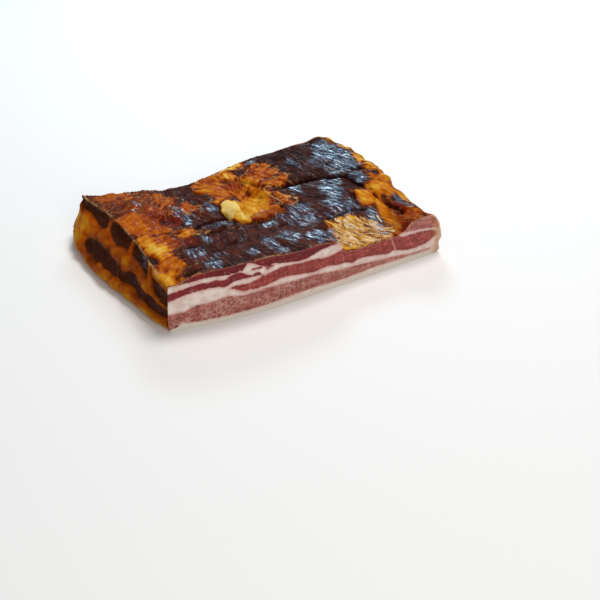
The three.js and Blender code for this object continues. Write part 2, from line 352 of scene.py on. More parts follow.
# ---- Patches of fat on the smoked top -----------------------------------------------------------------
# Name, middle, reach across and along, turn in degrees, warmth (0 is deep red, 0.5 amber, 1 cream), how solid
# it is (a low number lets the lean show through in streaks), and how sharp its edge is.
FAT_PATCHES = [
    ("left gold", (-111, 56), (9, 27), 4, 0.62, 9, 1),
    ("left strip", (-113, 24), (11, 18), 0, 0.36, 2.5, 1),
    ("front left corner", (-123, 6), (13, 14), 0, 0.42, 9, 1.5),
    ("left ember low", (-101, 62), (10, 14), 0, 0.34, 1.5, 1),
    ("left tan", (-77, 69), (9, 7), 20, 0.66, 1.0, 1),
    ("left orange", (-106, 103), (18, 23), 0, 0.24, 9, 1),
    ("left inner orange", (-93, 84), (9, 9), 0, 0.42, 1.5, 1),
    ("left red", (-84, 115), (10, 10), 0, 0.12, 2.5, 1),
    ("back left", (-95, 147), (28, 24), 0, 0.18, 0.3, 1),
    ("back left rim", (-103, 167), (20, 12), 0, 0.32, 2.0, 1),
    ("back left orange", (-68, 142), (8, 19), 0, 0.36, 1.4, 1),
    ("rib fat", (-55, 112), (7, 9), 0, 0.45, 0.4, 1),
    ("pit left wall", (-19, 136), (14, 29), 0, 0.3, 9, 1),
    ("pit left foot", (-27, 116), (7, 13), 0, 0.44, 9, 1),
    ("pale lump", (-26, 88), (8, 16), -10, 0.94, 9, 3),
    ("lump foot", (-24, 70), (8, 9), 0, 0.66, 9, 2),
    ("front petal", (-8, 81), (14, 21), -12, 0.56, 9, 2),
    ("petal", (4, 100), (13, 21), -10, 0.52, 9, 1.5),
    ("pit lip", (2, 71), (12, 9), 0, 0.24, 9, 2),
    ("pit floor", (1, 133), (9, 15), 0, 0.26, 9, 1),
    ("pit right wall", (13, 122), (7, 22), 0, 0.46, 9, 1),
    ("pit gold", (12, 134), (3, 8), 0, 0.76, 9, 2),
    ("back red", (-10, 159), (13, 10), 0, 0.34, 2.5, 1),
    ("cream back", (12, 165), (14, 6), 0, 0.9, 3, 1.2),
    ("cream wall", (4, 152), (6, 7), 0, 0.75, 9, 1.5),
    ("amber back", (30, 138), (14, 17), 0, 0.46, 1.5, 0.8),
    ("amber front", (29, 117), (15, 8), 0, 0.46, 1.5, 1),
    ("pit rim tan", (22, 84), (6, 10), 0, 0.55, 0.5, 1),
    ("flakes", (54, 16), (20, 17), 0, 0.82, 2.5, 1),
    ("flakes front", (48, 0), (18, 10), 0, 0.66, 9, 1.5),
    ("flakes right", (69, 6), (12, 13), 0, 0.9, 1.0, 1),
    ("flakes tongue", (29, -3), (10, 7), 0, 0.6, 2, 1),
    ("inner fat lobe", (85, 49), (9, 14), -15, 0.44, 9, 2),
    ("right fat lobe", (107, 56), (13, 17), 0, 0.48, 9, 1.5),
    ("lobe strip", (93, 28), (8, 22), -14, 0.54, 9, 1.5),
    ("lobe front", (90, 8), (8, 13), 0, 0.62, 9, 1.5),
    ("end fat lobe", (108, 7), (12, 9), 0, 0.2, 9, 1),
    ("right rim front", (119, 76), (8, 14), 0, 0.66, 2, 1),
    ("right rim", (122, 92), (7, 10), 0, 0.74, 1.5, 1),
    ("right rim middle", (122, 113), (5, 10), 0, 0.76, 4, 1),
    ("right rim back", (120, 138), (3, 11), 0, 0.82, 2, 1),
    ("back right corner", (117, 160), (5, 12), 0, 0.85, 4, 1),
]
# Thin dried strands of fat on the top, and highlights painted as pale lines on fold crests: line and half
# width.
STRANDS_AND_CREST_HIGHLIGHTS = [
    ([(-88, 70), (-78, 63), (-66, 60), (-58, 62)], 0.5),
    ([(-113, 7), (-104, 10), (-96, 9), (-88, 12)], 0.4),
    ([(13, 72), (17, 84), (15, 96), (18, 110)], 0.6),
    ([(22, 92), (26, 84), (33, 76)], 1.2),
    ([(24, -10), (33, 2), (36, 14), (33, 28)], 0.6),
    ([(-72, 60), (-58, 59), (-42, 57), (-30, 58)], 0.2),
    ([(-34, 82), (-33, 70), (-25, 61), (-8, 59), (8, 63)], 0.3),
]
# Lean that lies on the fat: the line it follows and half its width.
LEAN_STRANDS = [
    ([(66, 20), (74, 8), (82, 1)], 2.6),
    ([(76, 30), (84, 10)], 2.8),
    ([(62, 12), (68, -2)], 1.9),
    ([(100, 40), (102, 12)], 2.6),
    ([(93, 0), (99, -5)], 3.5),
    ([(-112, 3), (-94, 3)], 3.4),
    ([(-86, 100), (-74, 100)], 4.0),
    ([(113, 98), (120, 84)], 3.0),
    ([(64, 34), (76, 33)], 2.5),
    ([(73, 30), (82, 14)], 4.5),
    ([(-48, 165), (-46, 135), (-40, 120)], 12),
]
# Glossy lean with a blue grey reflection painted into its colour: middle, reach and strength.
GLOSS_AND_PAINTED_SHEEN = [
    ((101, 137), (13, 18), 1.0), ((112, 118), (7, 14), 1.0), ((98, 108), (16, 9), 0.9),
    ((103, 88), (6, 9), 0.9), ((62, 135), (4, 11), 0.7), ((42, 95), (4, 9), 1.0), ((66, 74), (10, 13), 1.0),
    ((56, 55), (10, 7), 0.9), ((62, 45), (14, 12), 0.8), ((45, 40), (5, 6), 0.9), ((17, 6), (14, 10), 1.0),
    ((-28, 12), (5, 12), 0.9), ((-28, 0), (10, 8), 0.7), ((-50, 3), (6, 6), 0.6), ((-85, 3), (6, 8), 0.9),
    ((-68, 50), (4, 9), 0.8), ((-66, 105), (5, 14), 0.8), ((-66, 88), (3, 4), 1.0), ((-12, 46), (6, 5), 0.8),
    ((7, 58), (4, 7), 0.8), ((-38, 103), (5, 8), 0.7), ((-100, 128), (2, 5), 1.0), ((-91, 142), (2, 9), 1.0),
    ((75, 8), (4, 9), 0.9), ((111, 28), (4, 12), 1.0), ((-8, 18), (9, 12), 0.6), ((85, 125), (10, 12), 0.5),
    ((33, 164), (4, 4), 1.0), ((-48, 71), (13, 7), 0.5), ((-87, 30), (7, 12), 0.6), ((18, 42), (16, 13), 0.6),
    ((25, 60), (12, 10), 0.6), ((78, 22), (6, 12), 1.0), ((-75, 15), (8, 8), 0.4), ((-15, 102), (2, 10), 0.5),
    ((-6, 114), (2, 8), 0.6), ((75, 88), (9, 10), 0.9), ((32, 12), (4, 7), 1.0), ((-5, 168), (4, 4), 0.9),
]
SHEEN_EDGE = dict(inside=0.6, low=0.1, over=0.6)
# Lean that is redder: middle and reach. Elsewhere the lean turns from brown to black to the right and back.
MAROON = [
    ((-84, 104), (11, 12)), ((100, 12), (7, 14)), ((95, 0), (9, 8)), ((0, 136), (5, 7)), ((-3, 65), (12, 5)),
    ((-88, 55), (8, 5)),
]
REDNESS = dict(usual=0.45, patches=0.6, right_of=-10, behind=20, over=90)
# Narrow crevices: the line they follow, half their width, and their depth. Fat and lean that curl up beside
# them make them deeper and wider by these shares.
CREVICE_DEEPER, CREVICE_WIDER = 1.4, 1.15
CREVICES = [
    ([(28, 107), (58, 105), (76, 99), (92, 95), (98, 72)], 1.4, 2.6),
    ([(-66, 74), (-58, 80), (-46, 82), (-34, 80)], 1.3, 1.8),
    ([(-72, 58), (-50, 58), (-36, 55), (-22, 56)], 1.4, 1.2),
    ([(-34, 84), (-33, 68), (-24, 60), (-8, 58), (8, 63), (16, 74)], 1.2, 1.8),
    ([(-20, 100), (-17, 84), (-21, 70)], 1.0, 1.6),
    ([(97, 62), (95, 48), (98, 34), (101, 12)], 1.2, 1.8),
    ([(78, 60), (75, 46), (77, 34)], 1.2, 1.6),
    ([(38, 33), (52, 35), (64, 37), (76, 34)], 1.2, 1.6),
    ([(-112, 1), (-100, -1), (-90, 0)], 1.2, 1.0),
    ([(-100, 42), (-90, 45), (-80, 42)], 1.0, 0.9),
    ([(18, 112), (14, 126), (8, 142), (-6, 146)], 1.2, 1.5),
    ([(-60, 30), (-30, 33), (0, 40), (30, 36)], 1.2, 0.8),
    ([(105, 100), (118, 96), (128, 98)], 1.4, 1.8),
]
# The pale lump of fat is round and smooth: middle, reach and turn.
SMOOTH_LUMP = ((-26, 88), (8, 16), -10)
# The dried rim at the right end is knobbly: where it starts to the right of, behind and above.
KNOBS = dict(size=(8, 9, 7), rise=2.4, lift=0.2, seed=61, start=106, behind=58, above=20, over=(12, 14, 10))
# At the front right the fat peels in strips, which overlap and run forward and to the right.
FRAY = dict(
    middle=(57, 10), reach=(29, 20), fade=6, along=(0.64, -0.77), width=4.2,
    wander=[(noise, 1.1, (16, 9, 9), 81), (noise, 0.3, (7, 3, 9), 82)],
)
# The strips that have come loose there.
FLAKES = dict(
    inset=3, clear_of_cut=8, spacing=7, length=15, width=3.4, thickness=0.7, seed=5,
    tilt=((-0.35, -0.03, -0.16), (0.35, 0.05, 0.16)), scale=((0.5, 0.4, 0.7), (1.3, 1.2, 1.3)),
    bend=3.0, bends_per_mm=0.16,
)
# How uneven the edges of each kind of patch are: the size of the lumps, the push along X and Y, and the seed.
EDGES = dict(
    fat=((5, 12, 8), (3.2, 5.0), 3), bloom=((6, 10, 8), (2.5, 4.0), 9), strand=((4, 6, 6), (1.0, 1.0), 13),
    fray=((7, 9, 8), (4, 4), 3),
)


def drift(points, edge):
    """The points' X and Y, pushed about sideways, so that a patch's edge is uneven."""
    size, amount, seed = EDGES[edge]
    return [points[:, axis] + amount[axis] * noise(points, size, seed + axis) for axis in (0, 1)]


# Muscle grain runs from the back to the front and wanders: how far, and over what distance. From the middle
# to the right it leans over more and more, so that its front end lies further right.
GRAIN = dict(size=(48, 60, 60), reach=(11, 7, 4), seed=71, lean=0.6, upright=-30, leaning=80, level=60)


def along_grain(points):
    """The points pushed about in long soft bends, for a pattern that wanders as muscle does."""
    pushes = [
        reach * noise(points, GRAIN["size"], GRAIN["seed"] + axis)
        for axis, reach in enumerate(GRAIN["reach"])
    ]
    leaning = smooth((points[:, 0] - GRAIN["upright"]) / (GRAIN["leaning"] - GRAIN["upright"]))
    pushes[0] = pushes[0] + GRAIN["lean"] * leaning * (points[:, 1] - GRAIN["level"])
    return points + np.column_stack(pushes)


# Fat and lean run out into each other in feathers: along the grain, and round the pit like petals. At the
# left end the feathers turn to the left.
FEATHER = dict(pit=(0, 116), ring=12, fade=(45, 75), across=2.6, along=15, up=8, left=(-50, -80), turn=-62)
# How far the feathers tear the edge of the fat: coarse and fine ones, and less at the left end.
TORN = dict(coarse=4.2, fine=1.8, finer=1.9, seed=15, at_left=0.45, left=-95, over=40)


def turned(points, degrees):
    """The points turned about Z."""
    c, s = math.cos(math.radians(degrees)), math.sin(math.radians(degrees))
    x, y, z = points.T
    return np.column_stack([c * x + s * y, c * y - s * x, z])


def feathers(points, finer=1.0, seed=5):
    """Noise in long narrow streaks, from about -1 to 1."""
    dx, dy = points[:, 0] - FEATHER["pit"][0], points[:, 1] - FEATHER["pit"][1]
    away = np.maximum(np.hypot(dx, dy), 1)
    petals = np.column_stack([dx / away * FEATHER["ring"], dy / away * FEATHER["ring"], away])
    across, along = FEATHER["across"] / finer, FEATHER["along"]
    size = (across, along, FEATHER["up"])
    grain = along_grain(points)
    straight = noise(grain, size, seed)
    round_pit = noise(petals, (across, across, along), seed + 1)
    leaning = noise(turned(points, FEATHER["turn"]) + grain - points, size, seed + 2)
    start, end = FEATHER["left"]
    straight = lerp(straight, leaning, smooth((start - points[:, 0]) / (start - end)))
    near, far = FEATHER["fade"]
    return lerp(straight, round_pit, smooth((far - away) / (far - near)))


def inside_fray(points):
    """Millimetres inside the patch of fat that peels."""
    return inside_oval(*drift(points, "fray"), FRAY["middle"], FRAY["reach"])


def frayed_strips(points):
    """How frayed the fat is, from 0 to 1, and each strip's height, which rises across it and then drops."""
    frayed = smooth(0.5 + inside_fray(points) / FRAY["fade"])
    ax, ay = FRAY["along"]
    run, across = points[:, 0] * ax + points[:, 1] * ay, points[:, 1] * ax - points[:, 0] * ay
    strip = across / FRAY["width"] + layered(np.column_stack([run, across, 0 * run]), FRAY["wander"])
    return frayed, 2 * (strip - np.floor(strip)) - 1


def crevices(x, y):
    """How deep the crevices are at each point, in millimetres."""
    deep = np.zeros(len(x))
    for line, half, depth in CREVICES:
        across = distance_to(line, x, y) / half / CREVICE_WIDER
        deep = np.maximum(deep, CREVICE_DEEPER * depth * bell(across))
    return deep


FAR_OUT = 12.0  # millimetres outside a patch, where its edge no longer matters
TRACE = 1e-6  # a weight that keeps a mean of no patches from dividing by zero
FAT_FADES = dict(outside=2, inside=5, usual_warmth=0.4)  # how a patch's warmth fades into its neighbour's


def fat_on_top(points):
    """Millimetres inside the fat, its warmth and how ragged its edge is, at each point of the top."""
    x, y = drift(points, "fat")
    best = np.full(len(x), -FAR_OUT)
    weight, ragged = np.full(len(x), TRACE), np.full(len(x), TRACE)
    warmth = weight * FAT_FADES["usual_warmth"]
    torn = TORN["coarse"] * feathers(points) + TORN["fine"] * feathers(points, TORN["finer"], TORN["seed"])
    torn *= lerp(TORN["at_left"], 1, smooth((points[:, 0] - TORN["left"]) / TORN["over"]))
    for _, at, reach, turn, warm, solid, sharp in FAT_PATCHES:
        px, py = lerp(points[:, 0], x, 1 / sharp), lerp(points[:, 1], y, 1 / sharp)
        inside = np.minimum(sharp * inside_oval(px, py, at, reach, turn) + torn / sharp**2, solid)
        best = np.maximum(best, inside)
        share = np.clip(inside + FAT_FADES["outside"], 0, FAT_FADES["inside"]) ** 2
        weight += share
        warmth += share * warm
        ragged += share / sharp
    for line, half in LEAN_STRANDS:
        best = np.minimum(best, distance_to(line, x, y) - half)
    return best, warmth / weight, ragged / weight


def gloss_and_painted_sheen_on_top(points):
    """How glossy the lean is and how much blue grey reflection is painted on it, from 0 to 1."""
    x, y = drift(points, "bloom")
    total = np.zeros(len(x))
    for at, reach, strength in GLOSS_AND_PAINTED_SHEEN:
        inside = inside_oval(x, y, at, reach) / min(reach)
        total = np.maximum(total, strength * smooth(SHEEN_EDGE["inside"] + inside))
    return smooth((total - SHEEN_EDGE["low"]) / SHEEN_EDGE["over"]) * total


def outside_strands(strands, x, y):
    """Millimetres outside the nearest thin strand."""
    apart = np.full(len(x), FAR_OUT)
    for line, half in strands:
        apart = np.minimum(apart, distance_to(line, x, y) - half)
    return apart


def redness_on_top(points):
    """How red the lean is, from 0, nearly black, to 1."""
    x, y = points[:, 0], points[:, 1]
    to_right, to_back = (x - REDNESS["right_of"]) / REDNESS["over"], (y - REDNESS["behind"]) / REDNESS["over"]
    brown = REDNESS["usual"] * (1 - smooth(to_right) * smooth(to_back))
    red = np.zeros(len(x))
    for at, reach in MAROON:
        red = np.maximum(red, smooth(1 + inside_oval(x, y, at, reach) / min(reach)))
    return np.clip(brown + REDNESS["patches"] * red, 0, 1)


# ---- Bands of lean on the smoked ends and back --------------------------------------------------------
# Low and high edges of the two bands on the left end, against the distance back from the cut.
left_low = (
    curve([(0, 12), (20, 13), (35, 14), (50, 17.5), (60, 16.5), (70, 15.5), (80, 15), (95, 14.5), (145, 13)]),
    curve([
        (0, 18), (20, 20), (35, 19.5), (50, 25), (60, 25), (72, 19.5), (80, 23), (95, 24), (130, 23),
        (145, 19),
    ]),
)
left_high = (
    curve([(0, 23), (16, 25), (26, 27), (35, 33), (75, 34), (100, 33.4), (125, 34), (150, 35), (172, 36)]),
    curve([(0, 33), (16, 34), (26, 35), (35, 41), (75, 42), (100, 42), (125, 41.5), (150, 42), (172, 42)]),
)
# Where fat breaks the high band and the low band: distance back and half width.
LEFT_HIGH_GAPS = [(29, 4.6), (71, 4.2), (118, 3.6)]
LEFT_LOW_GAPS = [(46, -1.8), (86, -0.8)]
# The gaps lean back as they rise, from a level, and widen downwards from the top. The low band tapers off.
GAP = dict(lean=0.8, level=30, flare=0.1, top=36, rounded=1.5)
LOW_END = dict(at=141, taper=0.6, rounded=2.0)
BAND_ROUNDED = 0.8


def band(low, high, at, z):
    return np.minimum(z - low(at), high(at) - z)


def lesser(a, b, round_by):
    """The lesser of two distances, rounded where they meet."""
    return -round_by * np.log(np.exp(-a / round_by) + np.exp(-b / round_by))


def lean_on_left(y, z):
    """Millimetres inside the bands of lean on the left end."""
    def broken(low, high, gaps):
        lean = lesser(z - low(y), high(y) - z, BAND_ROUNDED)
        for at, half in gaps:
            middle = at + GAP["lean"] * (z - GAP["level"])
            lean = lesser(lean, np.abs(y - middle) - half - GAP["flare"] * (GAP["top"] - z), GAP["rounded"])
        return lean

    upper = broken(*left_high, LEFT_HIGH_GAPS)
    to_end = (LOW_END["at"] - y) * LOW_END["taper"]
    lower = lesser(broken(*left_low, LEFT_LOW_GAPS), to_end, LOW_END["rounded"])
    return np.maximum(upper, lower)


# Bands on the right end and back, which go on from the layers of the cut: middle height, half height, wave.
HIDDEN_BANDS = [
    dict(middle=9.5, half=2.8, wave=1.6, size=31),
    dict(middle=21.5, half=4.2, wave=2.6, size=43),
    dict(middle=35, half=4.6, wave=2.4, size=37),
]
# How the bands wander up and down, and how they thin out into gaps: lump sizes, seeds and shares.
BAND_WANDER = [(noise, 2.6, (21, 21, 60), 24)]
BAND_GAPS = dict(usual=0.55, more=2.2, most=1.25, size=(33, 41, 60), seed=20)


def lean_on_hidden(points):
    """Millimetres inside the bands of lean on the right end and the back."""
    x, y, z = points.T
    way = x - y  # runs on from the right end into the back
    spots = np.column_stack([way, way, z])
    best = np.full(len(x), -FAR_OUT)
    for number, b in enumerate(HIDDEN_BANDS):
        wave = b["wave"] * np.sin(way / b["size"] + 2 * number)
        middle = b["middle"] + wave + layered(spots, BAND_WANDER)
        lumps = noise(spots, BAND_GAPS["size"], BAND_GAPS["seed"] + number)
        full = BAND_GAPS["usual"] + BAND_GAPS["more"] * lumps
        best = np.maximum(best, b["half"] * np.minimum(full, BAND_GAPS["most"]) - np.abs(z - middle))
    return best


# ---- Layers on the cut --------------------------------------------------------------------------------
# Each layer of lean: its low edge and its high edge along the cut, and its kind, from 0, dark crimson, to
# 1, pale and marbled.
SKY = [(-130, 99), (130, 99)]
CUT_LAYERS = [
    ("top lean", [
        (-122, 41.5), (-110, 42), (-95, 43.5), (-80, 42.2), (-66, 43.5), (-62, 48), (-57, 47), (-52, 44),
        (-45, 41), (-38, 42), (-33, 40.5), (-25, 39), (-10, 36.8), (0, 39), (10, 41), (25, 41.8),
    ], SKY, 0.0),
    ("upper lean", [
        (-130, 27), (-120, 30), (-105, 33), (-88, 33.3), (-82, 31.8), (-74, 34.8), (-61, 35.2), (-49, 34.8),
    ], [
        (-130, 34), (-120, 36), (-100, 39.5), (-97, 38.5), (-88, 39.5), (-82, 38), (-77, 40.8), (-68, 41.5),
        (-60, 37), (-53, 38), (-49, 34.8),
    ], 0.25),
    ("middle lean", [
        (-78, 29.3), (-72, 27), (-65, 23.5), (-61, 24.3), (-57, 23.3), (-40, 24.7), (-31, 26.5), (-15, 24.5),
        (0, 22), (12, 23.3), (22, 21.3), (30, 21), (38, 18.7), (45, 20.5), (62, 18.3), (74, 16), (81, 17),
        (95, 13), (106, 12), (118, 13.5), (128, 18),
    ], [
        (-78, 29.3), (-73, 30.8), (-61, 30), (-50, 33), (-40, 35), (-30, 36.5), (-15, 34.8), (0, 34),
        (12, 32), (25, 34), (29, 36), (50, 36), (80, 35), (85, 30), (90, 27.5), (100, 27), (115, 25.5),
        (124, 23.5), (128, 21),
    ], 0.5),
    ("lower lean", [
        (-130, 2), (-122, 3), (-118, 7), (-112, 5.5), (-80, 5), (-40, 6), (-10, 7.5), (30, 6), (60, 7.5),
        (90, 6.5), (122, 5),
    ], [
        (-130, 16), (-115, 16.3), (-107, 20), (-95, 20), (-81, 22.3), (-65, 20), (-45, 21.2), (-20, 20),
        (0, 19), (20, 16), (45, 14.5), (65, 12.5), (85, 10.3), (100, 7.8), (122, 6.5),
    ], 1.0),
    ("end lean", [
        (90, 31.4), (97, 30.5), (104, 29.6), (118, 27.4), (130, 24.5),
    ], [
        (90, 32.4), (97, 37.5), (104, 41), (112, 42), (119, 42), (130, 33),
    ], 0.8),
]
# Thin strands of fat through the lean, and of lean through the fat: the line and half the width.
CUT_FAT_STRANDS = [
    ([(-60.5, 31), (-60.8, 24)], 0.35), ([(1, 32.5), (8, 22)], 0.35), ([(-10, 31), (-6, 25)], 0.25),
    ([(28, 29), (29, 21)], 0.3), ([(77, 31), (80, 24), (83, 16)], 0.8), ([(95, 27), (102, 14)], 0.3),
    ([(104, 26), (110, 16)], 0.3), ([(112, 25), (117, 19)], 0.3), ([(-96, 39), (-94, 33)], 0.25),
]
CUT_LEAN_STRANDS = [([(-58, 41.6), (-50, 41.9)], 0.7), ([(-45, 39), (-40, 40.5)], 0.9)]
KIND_FADES = dict(outside=1, inside=3, usual=0.5)  # how the kind of one layer fades into the next one's


def layers_on_cut(x, z):
    """Millimetres inside the lean, the kind of lean, and the distance to a thin strand of fat."""
    best = np.full(len(x), -FAR_OUT)
    weight = np.full(len(x), TRACE)
    kind = weight * KIND_FADES["usual"]
    for _, low, high, tone in CUT_LAYERS:
        beyond = np.maximum(low[0][0] - x, x - low[-1][0])
        inside = np.minimum(band(curve(low), curve(high), x, z), -beyond)
        best = np.maximum(best, inside)
        share = np.clip(inside + KIND_FADES["outside"], 0, KIND_FADES["inside"])
        weight += share
        kind += share * tone
    best = np.maximum(best, -outside_strands(CUT_LEAN_STRANDS, x, z))
    return best, kind / weight, outside_strands(CUT_FAT_STRANDS, x, z)


# ---- The slab's mesh ----------------------------------------------------------------------------------
CUT, RIGHT, BACK, LEFT, TOP, RIND = range(6)
RIND_RINGS = (0.93, 0.7, 0.35)  # shares of the way out from the middle of the rind
CROWDED = 0.55  # how much closer together the levels are near the rind and the top


def level_shares():
    """Heights up a side, closer together near the rind and the top."""
    even = np.arange(FACES_UP + 1) / FACES_UP
    return lerp(even, (1 - np.cos(np.pi * even)) / 2, CROWDED)


def slab_points():
    """Every point of the slab and the part of the surface that it belongs to."""
    rings = [ring_points(share) for share in level_shares()]
    rings[0][:, 2] = 0
    parts = np.repeat([CUT, RIGHT, BACK, LEFT], [FACES_ALONG, FACES_DEEP, FACES_ALONG, FACES_DEEP])
    top = top_points(rings[-1])
    foot = rings[0]
    middle = foot.mean(axis=0)
    rind = [middle + (foot - middle) * share for share in RIND_RINGS] + [middle[None]]
    points = np.vstack([*rings, top, *rind])
    kinds = np.concatenate([
        np.tile(parts, len(rings)), np.full(len(top), TOP), np.full(len(RIND_RINGS) * RING + 1, RIND),
    ])
    kinds[FACES_UP * RING:(FACES_UP + 1) * RING][parts != CUT] = TOP
    return points, kinds


def slab_faces():
    """Faces in order: the sides, the top, the rind's rings, and the rind's middle."""
    step = np.arange(RING)
    ahead = (step + 1) % RING

    def strip(low, high):
        return np.column_stack([low + step, low + ahead, high + ahead, high + step])

    sides = np.vstack([strip(level * RING, (level + 1) * RING) for level in range(FACES_UP)])
    top_ring = FACES_UP * RING
    inner = top_ring + RING
    i, j = np.meshgrid(np.arange(FACES_ALONG + 1), np.arange(FACES_DEEP + 1))
    grid = inner + (j - 1) * (FACES_ALONG - 1) + (i - 1)
    grid[:, 0] = top_ring + (RING - j[:, 0]) % RING
    grid[FACES_DEEP] = top_ring + 2 * FACES_ALONG + FACES_DEEP - i[FACES_DEEP]
    grid[:, FACES_ALONG] = top_ring + FACES_ALONG + j[:, FACES_ALONG]
    grid[0] = top_ring + i[0]
    top = np.stack([grid[:-1, :-1], grid[:-1, 1:], grid[1:, 1:], grid[1:, :-1]], axis=-1).reshape(-1, 4)
    rind_start = inner + (FACES_ALONG - 1) * (FACES_DEEP - 1)
    starts = [0] + [rind_start + ring * RING for ring in range(len(RIND_RINGS))]
    rind = np.vstack([strip(b, a) for a, b in zip(starts, starts[1:])])
    centre = rind_start + len(RIND_RINGS) * RING
    fan = np.column_stack([starts[-1] + ahead, starts[-1] + step, np.full(RING, centre)])
    return sides, top, rind, fan


def point_normals(points, quads):
    a, b, c, d = (points[quads[:, k]] for k in range(4))
    face = np.cross(c - a, d - b)
    total = np.zeros_like(points)
    for k in range(4):
        np.add.at(total, quads[:, k], face)
    return total / np.maximum(np.linalg.norm(total, axis=1), 1e-9)[:, None]


# A pale highlight painted along the border of the cut and along the left end's ridge: strengths and half
# widths.
EDGE_HIGHLIGHT = dict(
    on_top=0.5, half=0.8, starts=-118, grows=8,
    on_ridge=0.9, ridge_half=0.7, ridge_front=12, ridge_foot=30,
)
# The smoked rim of the cut: how far its ends lie beyond the top edge, the thin skin's width on the left and
# on the right, its strength on the right, and the dark corner at the top left.
CUT_SMOKE = dict(beyond=5, left=1.6, right=5.5, on_right=0.8, corner=(3, 44), reach=(9, 4))


def edge_highlight_strength(points, kinds):
    """How bright the painted edge highlight is at each point, from 0 to 1."""
    x, y, z = points.T
    along_cut = grows(x, EDGE_HIGHLIGHT["starts"], EDGE_HIGHLIGHT["grows"])
    on_top = EDGE_HIGHLIGHT["on_top"] * hump(y, cut_line(x), EDGE_HIGHLIGHT["half"]) * along_cut
    from_ridge = x - left_line(y) - left_inset(y)
    on_ridge = EDGE_HIGHLIGHT["on_ridge"] * bell(from_ridge / EDGE_HIGHLIGHT["ridge_half"]) * (y > EDGE_HIGHLIGHT["ridge_front"])
    on_ridge = on_ridge * grows(z, EDGE_HIGHLIGHT["ridge_foot"], EDGE_HIGHLIGHT["grows"])
    skin = np.maximum((kinds == TOP) * on_top, ((kinds == TOP) | (kinds == LEFT)) * on_ridge)
    return np.where(kinds == CUT, hump(z, top_height(x, cut_line(x)), EDGE_HIGHLIGHT["half"]), skin)


def smoke_on_cut(points):
    """How smoked the cut is: only a thin skin at its two ends and the top corner of the left one."""
    x, _, z = points.T
    left, right = -HALF_CUT - CUT_SMOKE["beyond"], HALF_CUT + CUT_SMOKE["beyond"]
    thin = hump(x, left, CUT_SMOKE["left"])
    thin = np.maximum(thin, CUT_SMOKE["on_right"] * hump(x, right, CUT_SMOKE["right"]))
    (cx, cz), (rx, rz) = CUT_SMOKE["corner"], CUT_SMOKE["reach"]
    corner = bell(np.hypot((x - left - cx) / rx, (z - cz) / rz))
    return np.clip(np.maximum(thin, corner), 0, 1)


FIELDS = (
    "fat", "warmth", "bloom", "redness", "strand", "kind", "smoke", "painted_edge_highlight", "feather", "fibre", "ragged",
    "frayed", "strip", "fold",
)


def pushed(points, layers):
    """The points pushed about by the same noises along each axis, each with seeds of its own."""
    def along(axis):
        return layered(points, [(kind, far, size, seed + axis) for kind, far, size, seed in layers])

    return points + np.column_stack([along(axis) for axis in range(3)])


# How the finish varies on the top, on the left end and on the hidden sides. A pair is where a value starts to
# grow and over how far, or the middle of a hump and half its width.
ON_TOP = dict(
    left_ragged=0.6, left=(-100, 40), fibre=(1.5, 25), fold=0.4, smoke=0.12, smoke_back=(125, 30),
    smoke_left=(20, -60),
)
ON_LEFT = dict(
    wander=[(noise, 1.9, (9, 11, 7), 34), (noise, 0.5, (3, 4, 3), 34)], fat_covers=0.7, ragged=0.12,
    warmth=0.45, patches=[(noise, 0.16, (12, 20, 9), 41)], bloom=0.9, sheen_back=(51, 7), sheen_up=(33, 4),
    smoke=0.22, belly_back=(150, 40), belly_up=(24, 14), foot_smoke=0.2, foot=(9, -9),
)
ON_HIDDEN = dict(
    wander=[(noise, 1.8, (13, 15, 8), 31)], ragged=0.35,
    warmth=0.5, patches=[(noise, 0.24, (18, 18, 10), 42)],
    smoke=0.3, clouds=[(noise, 0.35, (22, 22, 14), 43)], least=0.05, most=0.6,
)


def top_fields(points, field):
    x, y, _ = points.T
    field["fat"], field["warmth"], field["ragged"] = fat_on_top(points)
    field["ragged"] = field["ragged"] * lerp(ON_TOP["left_ragged"], 1, grows(x, *ON_TOP["left"]))
    field["frayed"], field["strip"] = frayed_strips(points)
    field["bloom"] = gloss_and_painted_sheen_on_top(points)
    field["feather"] = feathers(points)
    field["fibre"] = feathers(points, *ON_TOP["fibre"])
    field["smoke"] = ON_TOP["smoke"] * grows(y, *ON_TOP["smoke_back"]) * grows(x, *ON_TOP["smoke_left"])
    field["fold"] = ON_TOP["fold"] + 0 * x


def left_fields(points, field):
    _, y, z = points.T
    _, uneven_y, uneven_z = pushed(points, ON_LEFT["wander"]).T
    field["fat"] = -ON_LEFT["fat_covers"] - lean_on_left(uneven_y, uneven_z)
    field["warmth"] = ON_LEFT["warmth"] + layered(points, ON_LEFT["patches"])
    field["ragged"] = ON_LEFT["ragged"] + 0 * y
    # High on the left end, glossy lean with a blue grey reflection painted into its colour.
    field["bloom"] = ON_LEFT["bloom"] * hump(y, *ON_LEFT["sheen_back"]) * grows(z, *ON_LEFT["sheen_up"])
    belly = hump(y, *ON_LEFT["belly_back"]) * hump(z, *ON_LEFT["belly_up"])
    field["smoke"] = ON_LEFT["smoke"] * (1 - belly) + ON_LEFT["foot_smoke"] * grows(z, *ON_LEFT["foot"])


def hidden_fields(points, field):
    field["fat"] = -lean_on_hidden(pushed(points, ON_HIDDEN["wander"]))
    field["warmth"] = ON_HIDDEN["warmth"] + layered(points, ON_HIDDEN["patches"])
    smoke = ON_HIDDEN["smoke"] + layered(points, ON_HIDDEN["clouds"])
    field["smoke"] = np.clip(smoke, ON_HIDDEN["least"], ON_HIDDEN["most"])
    field["ragged"] = ON_HIDDEN["ragged"] + 0 * smoke


def cut_fields(points, field):
    inside, field["kind"], field["strand"] = layers_on_cut(points[:, 0], points[:, 2])
    field["fat"] = -inside
    field["smoke"] = smoke_on_cut(points)


